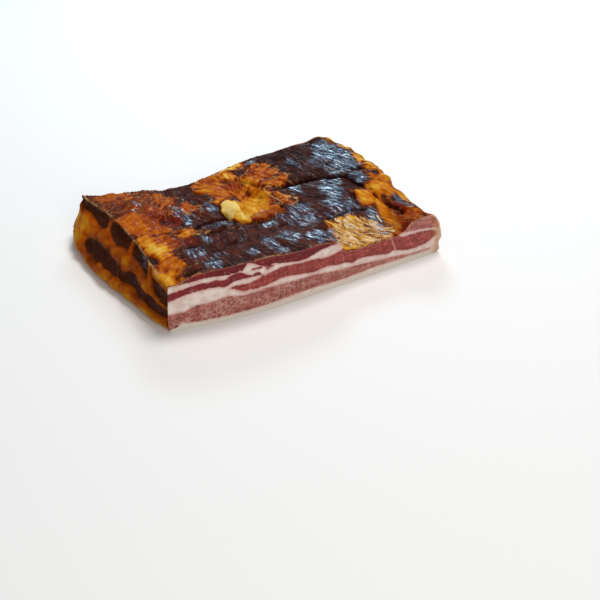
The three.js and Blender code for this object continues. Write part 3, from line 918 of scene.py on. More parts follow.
def surface_fields(points, kinds):
    """What the finish needs to know at every point: each value is an array, one number a point."""
    whole = {name: np.zeros(len(points)) for name in FIELDS}
    whole["strand"] = outside_strands(STRANDS_AND_CREST_HIGHLIGHTS, *drift(points, "strand"))
    whole["redness"] = redness_on_top(points)
    whole["painted_edge_highlight"] = edge_highlight_strength(points, kinds)
    whole["fold"] = np.abs(noise(points, (17, 21, 13), 62))
    hidden = (kinds == RIGHT) | (kinds == BACK)
    for part, fill in (
        (kinds == TOP, top_fields), (kinds == LEFT, left_fields),
        (hidden, hidden_fields), (kinds == CUT, cut_fields),
    ):
        field = {}
        fill(points[part], field)
        for name, values in field.items():
            whole[name][part] = values
    return whole


# Relief of each kind of surface, in layers of noise; the grain's follows the muscle.
RELIEF = dict(
    grain=[(ridged, 0.5, (2.6, 20, 6), 50), (ridged, 0.3, (2.2, 7, 4), 51), (noise, 1.1, (8, 30, 20), 52)],
    lean=[(ridged, 0.9, (34, 9, 20), 53)],
    fat=[(noise, 1.2, (8, 11, 7), 54), (ridged, 0.15, (3.2, 5, 4), 55)],
    swells=[(noise, 1.1, (14, 16, 9), 57), (ridged, 0.12, (5, 7, 4), 58)],
    troughs=[(ridged, 0.3, (4, 9, 2.5), 59)],
    cut=[(noise, 0.06, (4, 4, 3), 60)],
)


TOP_RISE = dict(
    fat=0.6, feather=0.9, strip=0.75, frayed_lumps=0.4, lump=1.0, lump_feather=0.3, lump_edge=(-0.6, 3),
    strand=0.5, strand_edge=(0.5, -1),
)
SIDE_RISE = dict(
    trough=-2.0, crown=3.4, crown_edge=(-1.6, 6), swell=-0.6, fold=2.6, deepest_fold=0.45, hidden=0.6,
)
# Where fat stands proud of lean, and where the sides settle to the plain form above the rind and at the top.
FAT_SHOULDER = (-1.5, 3)
FAT_ON_CUT = 0.12
SETTLED_FOOT, SETTLED_TOP = (0, 6), (-2, 5)


def top_relief(points, field, fat):
    x, y, _ = points.T
    lean = layered(along_grain(points), RELIEF["grain"]) + layered(points, RELIEF["lean"])
    lumps = layered(points, RELIEF["fat"])
    on_fat = TOP_RISE["fat"] + TOP_RISE["feather"] * field["feather"] + lumps
    frayed = TOP_RISE["fat"] + TOP_RISE["strip"] * field["strip"] + TOP_RISE["frayed_lumps"] * lumps
    rise = lerp(lerp(lean, on_fat, fat), frayed, field["frayed"])
    lump = TOP_RISE["lump"] + TOP_RISE["lump_feather"] * field["feather"]
    rise = lerp(rise, lump, grows(inside_oval(x, y, *SMOOTH_LUMP), *TOP_RISE["lump_edge"]))
    return rise + TOP_RISE["strand"] * grows(field["strand"], *TOP_RISE["strand_edge"]) - crevices(x, y)


def side_relief(points, kinds, field, fat):
    """The dried lean of the sides lies in troughs between round swells of fat."""
    crown = SIDE_RISE["trough"] + SIDE_RISE["crown"] * grows(field["fat"], *SIDE_RISE["crown_edge"])
    folds = SIDE_RISE["fold"] * np.minimum(field["fold"], SIDE_RISE["deepest_fold"])
    swells = layered(points, RELIEF["swells"]) + folds + SIDE_RISE["swell"]
    side = crown + lerp(layered(points, RELIEF["troughs"]), swells, fat)
    return side * np.where(kinds == LEFT, 1, SIDE_RISE["hidden"])


def rim_knobs(points):
    starts = (KNOBS["start"], KNOBS["behind"], KNOBS["above"])
    rim = np.prod([smooth((points[:, n] - starts[n]) / KNOBS["over"][n]) for n in range(3)], axis=0)
    return KNOBS["rise"] * (noise(points, KNOBS["size"], KNOBS["seed"]) + KNOBS["lift"]) * rim


def relief(points, kinds, field):
    """How far each point stands out from the plain form, in millimetres."""
    x, y, z = points.T
    fat = grows(field["fat"], *FAT_SHOULDER)
    on_cut = FAT_ON_CUT * fat + layered(points, RELIEF["cut"])
    settles = grows(z, *SETTLED_FOOT) * grows(top_height(x, y) - z, *SETTLED_TOP)
    on_side = side_relief(points, kinds, field, fat) * settles
    out = np.where(kinds == TOP, top_relief(points, field, fat), on_side) + rim_knobs(points)
    return np.where(kinds == CUT, on_cut, np.where(kinds == RIND, 0, out))


def shift_to_model():
    """Moves the working frame's origin to the model's: the CAD model's outline is the same, so the lowest
    corners of the two footprints match."""
    low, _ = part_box("bacon_slab")
    walk = np.arange(0, LEFT_DEPTH, 0.5)
    front = cut_line(np.arange(-120, 120)).min()
    return np.array([low.x / MM - left_line(walk).min(), low.y / MM - front, 0])


# Painted shade in the hollows of the relief.
HOLLOW_SHADE = dict(on_sides=0.82, level=0.3, over=1.8)  # how dark the hollows are: most on the top


def make_slab():
    points, kinds = slab_points()
    sides, top, rind, fan = slab_faces()
    field = surface_fields(points, kinds)
    normals = point_normals(points, np.vstack([sides, top, rind]))
    normals[kinds == CUT] = (0, -1, 0)
    edge = slice(FACES_UP * RING, FACES_UP * RING + FACES_ALONG)
    normals[edge] = (0, 0, 1)
    rise = relief(points, kinds, field)
    # The hollows of the relief get painted shade: most on the top, less on the sides, none on the cut.
    deepest_shade = np.where(kinds == CUT, 0, np.where(kinds == TOP, 1, HOLLOW_SHADE["on_sides"]))
    field["hollow"] = deepest_shade * smooth(HOLLOW_SHADE["level"] - rise / HOLLOW_SHADE["over"])
    shaped = points + normals * rise[:, None]
    shaped[:RING] = points[:RING]

    mesh = bpy.data.meshes.new("bacon")
    faces = [*np.vstack([sides, top, rind]).tolist(), *fan.tolist()]
    mesh.from_pydata(((shaped + shift_to_model()) * MM).tolist(), [], faces)
    for name, values in field.items():
        mesh.attributes.new(name, "FLOAT", "POINT").data.foreach_set("value", values.astype(np.float32))
    for name, spots in {"place": points, "grain": along_grain(points)}.items():
        pattern = mesh.attributes.new(name, "FLOAT_VECTOR", "POINT")
        pattern.data.foreach_set("vector", (spots * MM).astype(np.float32).ravel())

    is_cut = np.zeros(len(faces), bool)
    on_cut_step = np.arange(RING) < FACES_ALONG
    is_cut[:len(sides)] = np.tile(on_cut_step, FACES_UP)
    slot = np.zeros(len(faces), int)
    slot[is_cut] = 1
    slot[len(sides) + len(top):] = 2
    mesh.polygons.foreach_set("material_index", slot.astype(np.int32))
    mesh.polygons.foreach_set("use_smooth", np.ones(len(faces), bool))
    mark_cut_border(mesh, slot)
    mesh.validate()
    mesh.update()
    return mesh


def make_flake_bed(slab_mesh):
    """The patch of the slab's top that carries the flakes, as a mesh of its own."""
    _, top, _, _ = slab_faces()
    spots = np.zeros(len(slab_mesh.vertices) * 3)
    slab_mesh.vertices.foreach_get("co", spots)
    spots = spots.reshape(-1, 3)
    working = spots / MM - shift_to_model()
    back = working[:, 1] - cut_line(working[:, 0]) > FLAKES["clear_of_cut"]
    carries = (inside_fray(working) > FLAKES["inset"]) & back
    used, faces = np.unique(top[carries[top].all(axis=1)], return_inverse=True)
    bed = bpy.data.meshes.new("flake bed")
    bed.from_pydata(spots[used].tolist(), [], faces.reshape(-1, 4).tolist())
    return bed


def make_flake_tree():
    """Flakes of dried fat, scattered over a bed and lying along the strips that the fat peels in."""
    tree = bpy.data.node_groups.new("fat flakes", "GeometryNodeTree")
    tree.interface.new_socket("Bed", in_out="INPUT", socket_type="NodeSocketGeometry")
    for name in ("Spacing", "Length", "Width", "Thickness"):
        tree.interface.new_socket(name, in_out="INPUT", socket_type="NodeSocketFloat")
    tree.interface.new_socket("Finish", in_out="INPUT", socket_type="NodeSocketMaterial")
    tree.interface.new_socket("Flakes", in_out="OUTPUT", socket_type="NodeSocketGeometry")
    given, result = tree.nodes.new("NodeGroupInput"), tree.nodes.new("NodeGroupOutput")

    def draw(low, high, seed, kind="FLOAT_VECTOR"):
        first, out = (0, 0) if kind == "FLOAT_VECTOR" else (2, 1)
        inputs = {first: low, first + 1: high, "Seed": seed}
        return add(tree, "FunctionNodeRandomValue", inputs, data_type=kind).outputs[out]

    spots = add(tree, "GeometryNodeDistributePointsOnFaces", {
        "Mesh": given.outputs["Bed"], "Distance Min": given.outputs["Spacing"], "Density Max": 1e6,
        "Seed": FLAKES["seed"]}, distribute_method="POISSON")
    block = add(tree, "GeometryNodeMeshCube", {"Vertices X": 5, "Vertices Y": 3, "Vertices Z": 2})
    rounded = add(tree, "GeometryNodeSubdivisionSurface", {"Mesh": block.outputs["Mesh"], "Level": 1})
    size = add(tree, "ShaderNodeCombineXYZ", {
        0: given.outputs["Length"], 1: given.outputs["Width"], 2: given.outputs["Thickness"]})
    flake = add(tree, "GeometryNodeTransform", {"Geometry": rounded.outputs[0], "Scale": size.outputs[0]})
    upright = add(tree, "FunctionNodeAlignRotationToVector", {"Vector": spots.outputs["Normal"]}, axis="Z")
    along = add(tree, "FunctionNodeAlignRotationToVector", {
        "Rotation": upright.outputs[0], "Vector": (*FRAY["along"], 0)}, axis="X", pivot_axis="Z")
    wobble = add(tree, "FunctionNodeEulerToRotation", {0: draw(*FLAKES["tilt"], 1)})
    lain = add(
        tree, "FunctionNodeRotateRotation", {0: along.outputs[0], 1: wobble.outputs[0]},
        rotation_space="LOCAL",
    )
    placed = add(tree, "GeometryNodeInstanceOnPoints", {
        "Points": spots.outputs["Points"], "Instance": flake.outputs[0], "Rotation": lain.outputs[0],
        "Scale": draw(*FLAKES["scale"], 2)})
    toned = add(tree, "GeometryNodeStoreNamedAttribute", {
        "Geometry": placed.outputs[0], "Name": "tone", "Value": draw(0.0, 1.0, 3, "FLOAT")},
        data_type="FLOAT", domain="INSTANCE")
    real = add(tree, "GeometryNodeRealizeInstances", {"Geometry": toned.outputs[0]})
    wander = add(tree, "ShaderNodeTexNoise", {"Scale": FLAKES["bends_per_mm"] / MM, "Detail": 2.0})
    about_zero = {0: wander.outputs["Color"], 1: (0.5, 0.5, 0.5)}
    off = add(tree, "ShaderNodeVectorMath", about_zero, operation="SUBTRACT")
    reach = {0: off.outputs[0], "Scale": FLAKES["bend"] * MM}
    push = add(tree, "ShaderNodeVectorMath", reach, operation="SCALE")
    bent = add(tree, "GeometryNodeSetPosition", {"Geometry": real.outputs[0], "Offset": push.outputs[0]})
    soft = add(tree, "GeometryNodeSetShadeSmooth", {"Geometry": bent.outputs[0]})
    dressed = {"Geometry": soft.outputs[0], "Material": given.outputs["Finish"]}
    done = add(tree, "GeometryNodeSetMaterial", dressed)
    tree.links.new(done.outputs[0], result.inputs[0])
    return tree


def make_flakes(slab_mesh, finish):
    """Grows the flakes on the slab and returns them as a plain mesh."""
    bed = bpy.data.objects.new("flake bed", make_flake_bed(slab_mesh))
    bpy.context.scene.collection.objects.link(bed)
    grow = bed.modifiers.new("flakes", "NODES")
    grow.node_group = make_flake_tree()
    sockets = {socket.name: socket.identifier for socket in grow.node_group.interface.items_tree}
    for name in ("Spacing", "Length", "Width", "Thickness"):
        grow[sockets[name]] = FLAKES[name.lower()] * MM
    grow[sockets["Finish"]] = finish
    view = bpy.context.evaluated_depsgraph_get()
    flakes = bpy.data.meshes.new_from_object(bed.evaluated_get(view), depsgraph=view)
    bpy.data.objects.remove(bed)
    return flakes


def mark_cut_border(mesh, slot):
    """A knife leaves a sharp edge: the edges between two finishes are sharp."""
    loops = np.zeros(len(mesh.loops), int)
    mesh.loops.foreach_get("edge_index", loops)
    totals = np.zeros(len(mesh.polygons), int)
    mesh.polygons.foreach_get("loop_total", totals)
    of_loop = np.repeat(slot, totals)
    low, high = np.full(len(mesh.edges), 9), np.full(len(mesh.edges), -1)
    np.minimum.at(low, loops, of_loop)
    np.maximum.at(high, loops, of_loop)
    sharp = mesh.attributes.new("sharp_edge", "BOOLEAN", "EDGE")
    sharp.data.foreach_set("value", low != high)


# ---- Shader helpers -----------------------------------------------------------------------------------
def colour(red, green, blue):
    """A colour as a screen shows it, 0 to 255, as the linear one that shaders take (the sRGB curve)."""
    shown = [c / 255 for c in (red, green, blue)]
    return (*(((c + 0.055) / 1.055) ** 2.4 if c > 0.04045 else c / 12.92 for c in shown), 1)


WHITE = colour(255, 255, 255)
ORIGIN = (0.0, 0.0, 0.0)


def feed(tree, node, inputs):
    """Gives a node its inputs: a socket is linked, anything else is a value."""
    for name, value in inputs.items():
        if isinstance(value, bpy.types.NodeSocket):
            tree.links.new(value, node.inputs[name])
        else:
            node.inputs[name].default_value = value


def add(tree, kind, inputs=None, **settings):
    """A new node, with its settings and its inputs."""
    made = tree.nodes.new(kind)
    for name, value in settings.items():
        setattr(made, name, value)
    feed(tree, made, inputs or {})
    return made


def maths(tree, operation, a, b=0.0, clamp=False):
    return add(tree, "ShaderNodeMath", {0: a, 1: b}, operation=operation, use_clamp=clamp).outputs[0]


def times(tree, first, *others):
    for other in others:
        first = maths(tree, "MULTIPLY", first, other)
    return first


def mixed(tree, start, *parts):
    """start, with each part added in its share."""
    for part, share in parts:
        start = maths(tree, "ADD", times(tree, part, share), start)
    return start


def between(tree, value, low, high, start=0.0, end=1.0):
    """value's way from low to high, eased, as a number from start to end."""
    inputs = {"Value": value, "From Min": low, "From Max": high, "To Min": start, "To Max": end}
    return add(tree, "ShaderNodeMapRange", inputs, interpolation_type="SMOOTHSTEP").outputs[0]


def part_way(tree, share, a, b):
    """The number that lies a share of the way from a to b."""
    return add(tree, "ShaderNodeMix", {0: share, 2: a, 3: b}, data_type="FLOAT").outputs[0]


def blend(tree, share, a, b, how="MIX"):
    return add(tree, "ShaderNodeMix", {0: share, 6: a, 7: b}, data_type="RGBA", blend_type=how).outputs[2]


def painted(tree, base, layers):
    """A colour with others laid over it in turn: how much of each, and its tint."""
    for share, tint in layers:
        base = blend(tree, share, base, colour(*tint))
    return base


def ramp(tree, value, stops):
    made = add(tree, "ShaderNodeValToRGB", {"Fac": value})
    stretch = made.color_ramp
    while len(stretch.elements) < len(stops):
        stretch.elements.new(0.5)
    for element, (at, tint) in zip(stretch.elements, stops):
        element.position = at
        element.color = colour(*tint)
    return made.outputs["Color"]


def read(tree, name):
    """A value that make_slab() or the flakes store on the mesh."""
    made = add(tree, "ShaderNodeAttribute", attribute_name=name)
    return made.outputs["Vector" if name in ("place", "grain") else "Fac"]


def stretched(tree, place, size):
    """Coordinates in which a lump of that size, in millimetres, is one unit."""
    inputs = {"Vector": place, "Scale": [1 / (s * MM) for s in size]}
    return add(tree, "ShaderNodeMapping", inputs, vector_type="POINT").outputs[0]


def speckle(tree, place, size, detail=3.0):
    inputs = {"Vector": stretched(tree, place, size), "Scale": 1.0, "Detail": detail}
    return add(tree, "ShaderNodeTexNoise", inputs).outputs["Fac"]


def uneven(tree, place, size, detail=3.0):
    """Speckle that varies about zero."""
    return maths(tree, "SUBTRACT", speckle(tree, place, size, detail), 0.5)


def new_group(name, output, kind, **inputs):
    """A node group with named inputs, each with a start value, and one output."""
    group = bpy.data.node_groups.new(name, "ShaderNodeTree")
    for label, start in inputs.items():
        sort = {3: "NodeSocketVector", 4: "NodeSocketColor"}.get(len(np.atleast_1d(start)), "NodeSocketFloat")
        group.interface.new_socket(label, in_out="INPUT", socket_type=sort).default_value = start
    group.interface.new_socket(output, in_out="OUTPUT", socket_type=kind)
    return group, group.nodes.new("NodeGroupInput").outputs, group.nodes.new("NodeGroupOutput").inputs[output]


def effect(tree, group, **values):
    """What a node group puts out, with its inputs given by their names in lower case."""
    inputs = {name.capitalize(): value for name, value in values.items()}
    return add(tree, "ShaderNodeGroup", inputs, node_tree=group).outputs[0]


def new_material(name, look):
    material = bpy.data.materials.new(name)
    material.use_nodes = True
    material.diffuse_color = look
    tree = material.node_tree
    return material, tree, tree.nodes["Principled BSDF"]


def bump(tree, height, distance):
    return add(tree, "ShaderNodeBump", {"Height": height, "Distance": distance * MM}).outputs["Normal"]


# ---- Effects that more than one finish uses -----------------------------------------------------------
def make_ragged_edge():
    """A mask from millimetres inside a patch, with a torn edge."""
    group, given, mask = new_group(
        "ragged edge", "Mask", "NodeSocketFloat", Inside=0.0, Place=ORIGIN, Tear=1.0, Softness=0.5,
    )
    coarse = speckle(group, given["Place"], (1.8, 7, 2.0), 4)
    fine = speckle(group, given["Place"], (0.8, 1.8, 0.8), 2)
    push = mixed(group, -2.7, (coarse, 4.0), (fine, 1.4))
    torn = mixed(group, given["Inside"], (push, given["Tear"]))
    low = times(group, given["Softness"], -1.0)
    group.links.new(between(group, torn, low, given["Softness"]), mask)
    return group


def make_wrinkles():
    """Heights of long, sharp wrinkles and of the fine grain between them."""
    group, given, height = new_group("wrinkles", "Height", "NodeSocketFloat", Place=ORIGIN, Grain=0.5)
    place = given["Place"]
    crests = [
        (maths(group, "ABSOLUTE", uneven(group, place, size)), -4.0 * share)
        for size, share in (((1.7, 6, 2), 0.5), ((0.9, 2.4, 1), 0.25), ((5, 1.7, 2), 0.3))
    ]
    tight = between(group, speckle(group, place, (13, 18, 11), 2), 0.4, 0.62, 0.05, 0.9)
    grain = times(group, speckle(group, place, (0.5, 0.7, 0.5), 2), given["Grain"])
    group.links.new(mixed(group, grain, (mixed(group, 0.0, *crests), tight)), height)
    return group


def make_mottle():
    """A colour that wanders between two others in blotches of a given size, in millimetres."""
    group, given, result = new_group(
        "mottle", "Color", "NodeSocketColor", Place=ORIGIN, Size=4.0, Light=WHITE, Dark=colour(0, 0, 0),
    )
    scale = maths(group, "DIVIDE", 1 / MM, given["Size"])
    blotch = add(group, "ShaderNodeTexNoise", {"Vector": given["Place"], "Scale": scale, "Detail": 4.0})
    share = between(group, blotch.outputs["Fac"], 0.36, 0.64)
    group.links.new(blend(group, share, given["Dark"], given["Light"]), result)
    return group


def make_marbling():
    """A net of thin fat between bundles of lean, whose size is in millimetres."""
    group, given, mask = new_group(
        "marbling", "Mask", "NodeSocketFloat", Place=ORIGIN, Bundle=5.0, Width=0.08,
    )
    scale = maths(group, "DIVIDE", 1 / MM, given["Bundle"])
    bend = add(group, "ShaderNodeTexNoise", {"Vector": given["Place"], "Scale": scale, "Detail": 3.0})
    about_zero = {0: bend.outputs["Color"], 1: (0.5, 0.5, 0.5)}
    off = add(group, "ShaderNodeVectorMath", about_zero, operation="SUBTRACT")
    reach = times(group, given["Bundle"], 0.9 * MM)
    away = add(group, "ShaderNodeVectorMath", {0: off.outputs[0], "Scale": reach}, operation="SCALE")
    bent = add(group, "ShaderNodeVectorMath", {0: given["Place"], 1: away.outputs[0]}, operation="ADD")
    net = {"Vector": bent.outputs[0], "Scale": scale}
    cells = add(group, "ShaderNodeTexVoronoi", net, feature="DISTANCE_TO_EDGE")
    width = times(group, given["Width"], speckle(group, given["Place"], (4, 4, 3), 2), 1.6)
    group.links.new(between(group, cells.outputs["Distance"], width, 0.0), mask)
    return group


# ---- Finishes -----------------------------------------------------------------------------------------
# Tones along a ramp: place and tint. Lean is at the dark end of the skin's and fat at the light end.
SKIN_TONES = [
    (0.0, (22, 11, 10)), (0.1, (46, 21, 18)), (0.2, (74, 34, 25)), (0.3, (102, 40, 14)), (0.4, (136, 50, 3)),
    (0.52, (170, 76, 2)), (0.64, (194, 108, 4)), (0.76, (212, 148, 28)), (0.88, (228, 184, 82)),
    (1.0, (238, 206, 122)),
]
PEEL_TONES = [
    (0.0, (52, 32, 30)), (0.18, (104, 62, 28)), (0.36, (176, 114, 34)), (0.56, (202, 150, 66)),
    (0.76, (220, 184, 128)), (1.0, (240, 224, 196)),
]
FLAKE_TONES = [
    (0.0, (84, 52, 34)), (0.15, (142, 88, 28)), (0.35, (190, 134, 58)), (0.6, (210, 164, 98)),
    (0.8, (218, 180, 126)), (1.0, (236, 218, 186)),
]
# Lean on the cut, against its kind.
MEAT_TONES = [
    (0.0, (132, 8, 24)), (0.25, (150, 36, 40)), (0.5, (182, 78, 70)), (0.8, (196, 112, 98)),
    (1.0, (186, 104, 94)),
]
VEIN = (216, 176, 160)


def make_smoked_skin(groups):
    """The dried and smoked outside: dark wrinkled lean, which passes through a brown glaze into amber fat."""
    material, tree, shader = new_material("smoked skin", colour(90, 45, 30))
    at = {name: read(tree, name) for name in (*FIELDS, "hollow", "place", "grain")}
    place, grain, ragged, bloom = at["place"], at["grain"], at["ragged"], at["bloom"]
    edge = groups["ragged edge"]
    streaks = uneven(tree, grain, (1.5, 12, 3), 4)
    specks = uneven(tree, place, (1.3, 1.8, 1.3))
    blotches = uneven(tree, grain, (6, 12, 6), 4)
    tear = between(tree, ragged, 0.0, 1.0, 0.2, 1.4)
    softness = between(tree, ragged, 0.0, 1.0, 0.45, 3.2)
    fat = effect(tree, edge, inside=at["fat"], place=grain, tear=tear, softness=softness)

    # The tone of the lean and of the fat. The sides, whose patches have even edges, vary less.
    calm = between(tree, ragged, 0.3, 0.8, 0.45, 1.0)
    patchy = times(tree, mixed(tree, 0.0, (blotches, 0.42), (specks, 0.05), (streaks, 0.22)), calm)
    lean_tone = mixed(tree, 0.2, (at["redness"], 0.13), (patchy, 1.0), (ragged, -0.08))
    varied = mixed(tree, 0.0, (blotches, 0.7), (specks, 0.2), (streaks, 0.26), (at["fibre"], 0.07))
    varied = times(tree, varied, between(tree, ragged, 0.0, 1.0, 0.45, 1.0))
    # Painted light and shade on the fat: lighter on the crowns of its swells, darker towards its edges, most
    # on the left end.
    swell = between(tree, at["fat"], 0.5, 8.0, -0.14, 0.1)
    swell = times(tree, swell, between(tree, ragged, 0.3, 0.8, 1.0, 0.25))
    # Painted shade: fat darker in the creases between the folds of the sides.
    painted_crease_shade = between(tree, at["fold"], 0.0, 0.3, -0.09, 0.02)
    fat_tone = mixed(
        tree, 0.34, (at["warmth"], 0.6), (varied, 1.0), (at["feather"], 0.1), (swell, 1.0), (painted_crease_shade, 1.0),
    )
    skin = ramp(tree, part_way(tree, fat, lean_tone, fat_tone), SKIN_TONES)

    # Redder lean, strands of dried fat with highlights painted on fold crests, and thin fibres where fat and
    # lean meet.
    ruddy = between(tree, at["redness"], 0.55, 1.0, 0.0, 0.6)
    broken = between(tree, speckle(tree, place, (4, 6, 4), 2), 0.38, 0.55)
    strand = effect(tree, edge, inside=times(tree, at["strand"], -1.0), place=place, tear=0.3, softness=0.5)
    near_edge = times(tree, between(tree, at["fat"], -8.0, -1.0), between(tree, at["fat"], 8.0, 1.0))
    thin = between(tree, maths(tree, "ABSOLUTE", at["fibre"]), 0.13, 0.02)
    fibres = times(tree, thin, near_edge, broken, ragged, 0.6)
    skin = painted(tree, skin, [
        (ruddy, (112, 20, 6)), (times(tree, strand, broken, 0.8), (206, 152, 84)), (fibres, (212, 150, 78)),
    ])
    # Each peeling strip's tone rises with its height: painted shadow at its foot, painted highlight at its
    # crest.
    peel_tone = mixed(
        tree, 0.18, (at["strip"], 0.34), (at["warmth"], 0.52), (specks, 0.45), (blotches, 1.2),
    )
    frayed = times(tree, fat, between(tree, at["frayed"], 0.25, 0.75))
    skin = blend(tree, frayed, skin, ramp(tree, peel_tone, PEEL_TONES))

    # Painted reflections: a blue grey sheen with glints on the glossy lean, a pale sheen on fat. Painted
    # shade in the hollows, smoke, and a highlight painted along the edges.
    sparkle = mixed(tree, 0.5, (streaks, 1.4), (specks, 0.4))
    on_lean = times(tree, bloom, maths(tree, "SUBTRACT", 1.0, fat))
    painted_blue_sheen = times(tree, on_lean, between(tree, sparkle, 0.36, 0.62, 0.12, 0.78))
    painted_sheen_on_fat = times(tree, bloom, fat, between(tree, sparkle, 0.4, 0.6, 0.0, 0.6))
    painted_glints = times(tree, between(tree, sparkle, 0.6, 0.74), on_lean)
    painted_hollow_shade = times(tree, between(tree, at["hollow"], 0.4, 1.0, 0.0, 0.75), mixed(tree, 1.0, (fat, -0.6)))
    smoke = times(tree, at["smoke"], mixed(tree, 0.25, (fat, 0.75)))
    painted_edge_highlight = times(tree, at["painted_edge_highlight"], broken, 0.75)
    skin = painted(tree, skin, [
        (painted_blue_sheen, (74, 104, 136)), (painted_sheen_on_fat, (206, 184, 184)), (painted_glints, (164, 194, 212)), (painted_hollow_shade, (30, 8, 6)),
        (smoke, (62, 26, 3)), (painted_edge_highlight, (206, 156, 104)),
    ])

    # Gloss: where the sheen is painted, in drops, and in patches, less where smoke has dulled it.
    shine = times(tree, between(tree, sparkle, 0.42, 0.6), bloom)
    drops = times(tree, between(tree, speckle(tree, grain, (2.5, 6, 2.5), 2), 0.62, 0.7), 0.3)
    glazed = between(tree, speckle(tree, grain, (7, 16, 7)), 0.46, 0.66, 0.0, 0.1)
    glazed = times(tree, glazed, between(tree, fat, 0.0, 0.6, 1.0, 0.25))
    gloss = maths(tree, "ADD", shine, maths(tree, "ADD", drops, glazed), clamp=True)
    exposed = between(tree, at["smoke"], 0.1, 0.35, 1.0, 0.3)

    wrinkles = effect(tree, groups["wrinkles"], place=grain, grain=0.3)
    wrinkles = times(tree, wrinkles, between(tree, bloom, 0.0, 0.6, 0.7, 1.1))
    lumps = times(tree, speckle(tree, place, (3, 5, 3), 2), 1.8)
    feed(tree, shader, {
        "Base Color": skin, "Roughness": between(tree, speckle(tree, place, (2, 5, 2)), 0.3, 0.7, 0.4, 0.62),
        "Coat Weight": times(tree, gloss, exposed), "Coat Roughness": 0.2, "Specular IOR Level": 0.02,
        "Normal": bump(tree, part_way(tree, fat, wrinkles, lumps), 0.6)})
    return material


def make_fresh_cut(groups):
    """The knife's cut: layers of red lean and white fat, with a net of marbling in the lower lean."""
    material, tree, shader = new_material("fresh cut", colour(170, 110, 105))
    place, outside, kind = (read(tree, name) for name in ("place", "fat", "kind"))
    spot = add(tree, "ShaderNodeSeparateXYZ", {0: place}).outputs
    edge, net, mottle = groups["ragged edge"], groups["marbling"], groups["mottle"]
    lean = effect(tree, edge, inside=times(tree, outside, -1.0), place=place, tear=0.62, softness=0.45)
    strand = times(tree, read(tree, "strand"), -1.0)
    strand = effect(tree, edge, inside=strand, place=place, tear=0.15, softness=0.4)

    # Lean: its kind's tone, paler to the right in the lowest layer, mottled, drawn along the layers, and
    # marbled.
    meat = ramp(tree, kind, MEAT_TONES)
    fading = times(tree, between(tree, kind, 0.75, 1.0), between(tree, spot["X"], 0.0, 100 * MM, 0.0, 0.6))
    meat = blend(tree, fading, meat, colour(212, 148, 128))
    shade = effect(tree, mottle, place=place, size=4.0, light=WHITE, dark=colour(206, 174, 168))
    meat = blend(tree, 1.0, meat, shade, "MULTIPLY")
    drawn = between(tree, speckle(tree, place, (13, 4, 1.5)), 0.36, 0.62, 0.0, 0.35)
    meat = blend(tree, drawn, meat, colour(96, 22, 28), "MULTIPLY")
    patches = between(tree, speckle(tree, place, (16, 16, 7), 2), 0.38, 0.62, 0.12, 0.55)
    marbled = times(tree, between(tree, kind, 0.62, 0.9), patches)
    coarse = times(tree, effect(tree, net, place=place, bundle=4.8, width=0.2), marbled)
    fine = times(tree, effect(tree, net, place=place, bundle=2.6, width=0.14), marbled, 0.5)
    flecks = between(tree, speckle(tree, place, (2.5, 2, 1.2), 4), 0.6, 0.72, 0.0, 0.3)
    meat = painted(tree, meat, [
        (coarse, VEIN), (fine, VEIN), (flecks, VEIN), (times(tree, strand, 0.5), (214, 164, 152)),
    ])

    # Fat: pink near the lean, and creamier in the strip above the rind.
    pale = dict(light=colour(238, 222, 212), dark=colour(222, 194, 184))
    white = effect(tree, mottle, place=place, size=6.0, **pale)
    white = painted(tree, white, [
        (between(tree, outside, 0.0, 2.4, 0.7, 0.0), (206, 146, 138)),
        (between(tree, spot["Z"], 7 * MM, 1.5 * MM), (226, 214, 200)),
    ])
    # Smoke at the cut's two ends, and a faint highlight painted along its top edge.
    face = painted(tree, blend(tree, lean, white, meat), [
        (times(tree, read(tree, "smoke"), 0.85), (190, 130, 66)),
        (times(tree, read(tree, "painted_edge_highlight"), 0.25), (206, 150, 124)),
    ])
    moist = between(tree, speckle(tree, place, (3, 3, 2), 2), 0.3, 0.7, 0.32, 0.46)
    height = mixed(tree, speckle(tree, place, (0.7, 0.7, 0.5)), (lean, -0.5))
    feed(tree, shader, {
        "Base Color": face, "Roughness": part_way(tree, lean, 0.52, moist), "Specular IOR Level": 0.25,
        "Normal": bump(tree, height, 0.18), "Subsurface Weight": 0.1,
        "Subsurface Radius": (0.004, 0.0015, 0.001)})
    return material


def make_dried_fat():
    """Flakes of dried fat: each has its own tone, from nearly black through gold to pale cream."""
    material, tree, shader = new_material("dried fat", colour(210, 160, 90))
    spot = add(tree, "ShaderNodeTexCoord").outputs["Object"]
    streak = uneven(tree, spot, (1.6, 6, 1.6))
    feed(tree, shader, {
        "Base Color": ramp(tree, mixed(tree, read(tree, "tone"), (streak, 1.6)), FLAKE_TONES),
        "Roughness": between(tree, streak, -0.2, 0.2, 0.3, 0.5), "Specular IOR Level": 0.15,
        "Coat Weight": between(tree, speckle(tree, spot, (5, 5, 5), 2), 0.4, 0.6, 0.05, 0.5),
        "Coat Roughness": 0.2, "Normal": bump(tree, speckle(tree, spot, (0.8, 2.5, 0.8)), 0.3)})
    return material


def make_rind(groups):
    """The smoked rind underneath: leathery and amber brown."""
    material, tree, shader = new_material("rind", colour(130, 80, 40))
    place = read(tree, "place")
    cells = {"Vector": stretched(tree, place, (1.8, 1.8, 1.8)), "Scale": 1.0}
    pits = add(tree, "ShaderNodeTexVoronoi", cells)
    brown = dict(light=colour(176, 118, 62), dark=colour(104, 58, 28))
    feed(tree, shader, {
        "Base Color": effect(tree, groups["mottle"], place=place, size=14.0, **brown), "Roughness": 0.5,
        "Normal": bump(tree, pits.outputs["Distance"], 0.3)})
    return material


# ---- The stage ----------------------------------------------------------------------------------------
VIEW = dict(azimuth=-30, elevation=32, distance=960.14, lens=70, target=(-14.78, -11.11, 0))
FLOOR_REACH = 4.0
AMBIENT = 0.2  # the pale room's own light
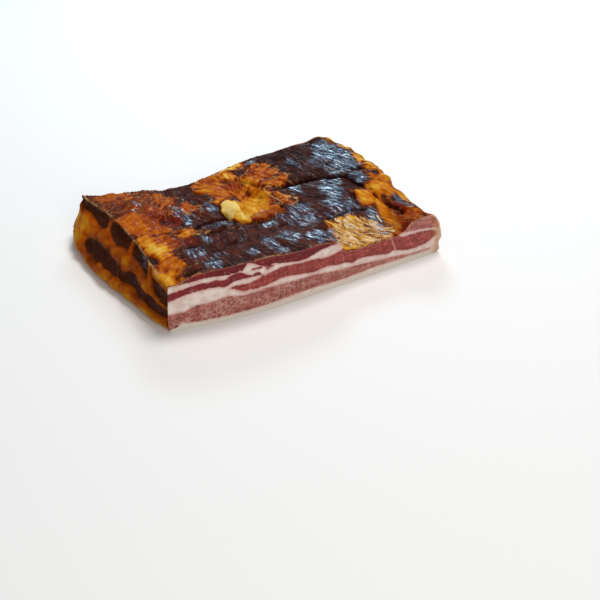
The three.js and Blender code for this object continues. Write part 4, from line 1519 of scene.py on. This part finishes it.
# Softboxes: name, the direction they stand in, distance, size, power and tint.
LIGHTS = [
    ("key", (0.3, 0.1, 0.95), 1.6, (0.7, 0.7), 16, (1, 0.98, 0.95)),
    ("sky", (0.42, 0.73, 0.53), 1.3, (0.4, 0.3), 6, (0.62, 0.84, 1)),
    ("front fill", (-0.25, -0.85, 0.45), 1.7, (0.9, 0.6), 8, (1, 0.98, 0.95)),
]
LOOK_AT = Vector((0, 0, 0.02))  # the middle of the slab, in metres


def make_camera():
    camera = bpy.data.objects.new("camera", bpy.data.cameras.new("camera"))
    bpy.context.scene.collection.objects.link(camera)
    bpy.context.scene.camera = camera
    turn, tilt = math.radians(VIEW["azimuth"]), math.radians(VIEW["elevation"])
    back = Vector((math.sin(turn) * math.cos(tilt), -math.cos(turn) * math.cos(tilt), math.sin(tilt)))
    target = Vector((np.array(VIEW["target"]) + shift_to_model()) * MM)
    camera.location = target + back * VIEW["distance"] * MM
    camera.rotation_mode = "QUATERNION"
    camera.rotation_quaternion = (-back).to_track_quat("-Z", "Y")
    camera.data.lens = VIEW["lens"]
    camera.data.sensor_width = 36
    camera.data.clip_start = 0.01


def make_light(name, direction, distance, size, power, tint):
    """A softbox that looks at the middle of the slab from a direction."""
    data = bpy.data.lights.new(name, "AREA")
    data.shape = "RECTANGLE"
    data.size, data.size_y = size
    data.energy = power
    data.color = tint
    light = bpy.data.objects.new(name, data)
    bpy.context.scene.collection.objects.link(light)
    way = Vector(direction).normalized()
    light.location = way * distance + LOOK_AT
    light.rotation_mode = "QUATERNION"
    light.rotation_quaternion = way.to_track_quat("Z", "Y")


def make_stage():
    mesh = bpy.data.meshes.new("floor")
    corners = [(x * FLOOR_REACH, y * FLOOR_REACH, 0) for x, y in ((-1, -1), (1, -1), (1, 1), (-1, 1))]
    mesh.from_pydata(corners, [], [(0, 1, 2, 3)])
    floor = bpy.data.objects.new("floor", mesh)
    bpy.context.scene.collection.objects.link(floor)
    material, tree, shader = new_material("pale floor", (0.9, 0.9, 0.9, 1))
    feed(tree, shader, {"Base Color": (0.97, 0.96, 0.955, 1), "Roughness": 0.9, "Specular IOR Level": 0.1})
    mesh.materials.append(material)

    world = bpy.data.worlds.new("pale room")
    world.use_nodes = True
    background = world.node_tree.nodes["Background"]
    feed(world.node_tree, background, {"Color": (1, 1, 1, 1), "Strength": AMBIENT})
    bpy.context.scene.world = world
    for light in LIGHTS:
        make_light(*light)
    bpy.context.scene.view_settings.view_transform = "Standard"


# ---- Putting it together ------------------------------------------------------------------------------
make_camera()
make_stage()
effects = {
    "ragged edge": make_ragged_edge(),
    "wrinkles": make_wrinkles(),
    "mottle": make_mottle(),
    "marbling": make_marbling(),
}
slab_mesh = make_slab()
for finish in (make_smoked_skin(effects), make_fresh_cut(effects), make_rind(effects)):
    slab_mesh.materials.append(finish)
slab = bpy.data.objects.new("bacon", slab_mesh)
bpy.context.scene.collection.objects.link(slab)
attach(slab, "root")
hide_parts("bacon_slab")

flakes = bpy.data.objects.new("fat_flakes", make_flakes(slab_mesh, make_dried_fat()))
bpy.context.scene.collection.objects.link(flakes)
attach(flakes, "root")
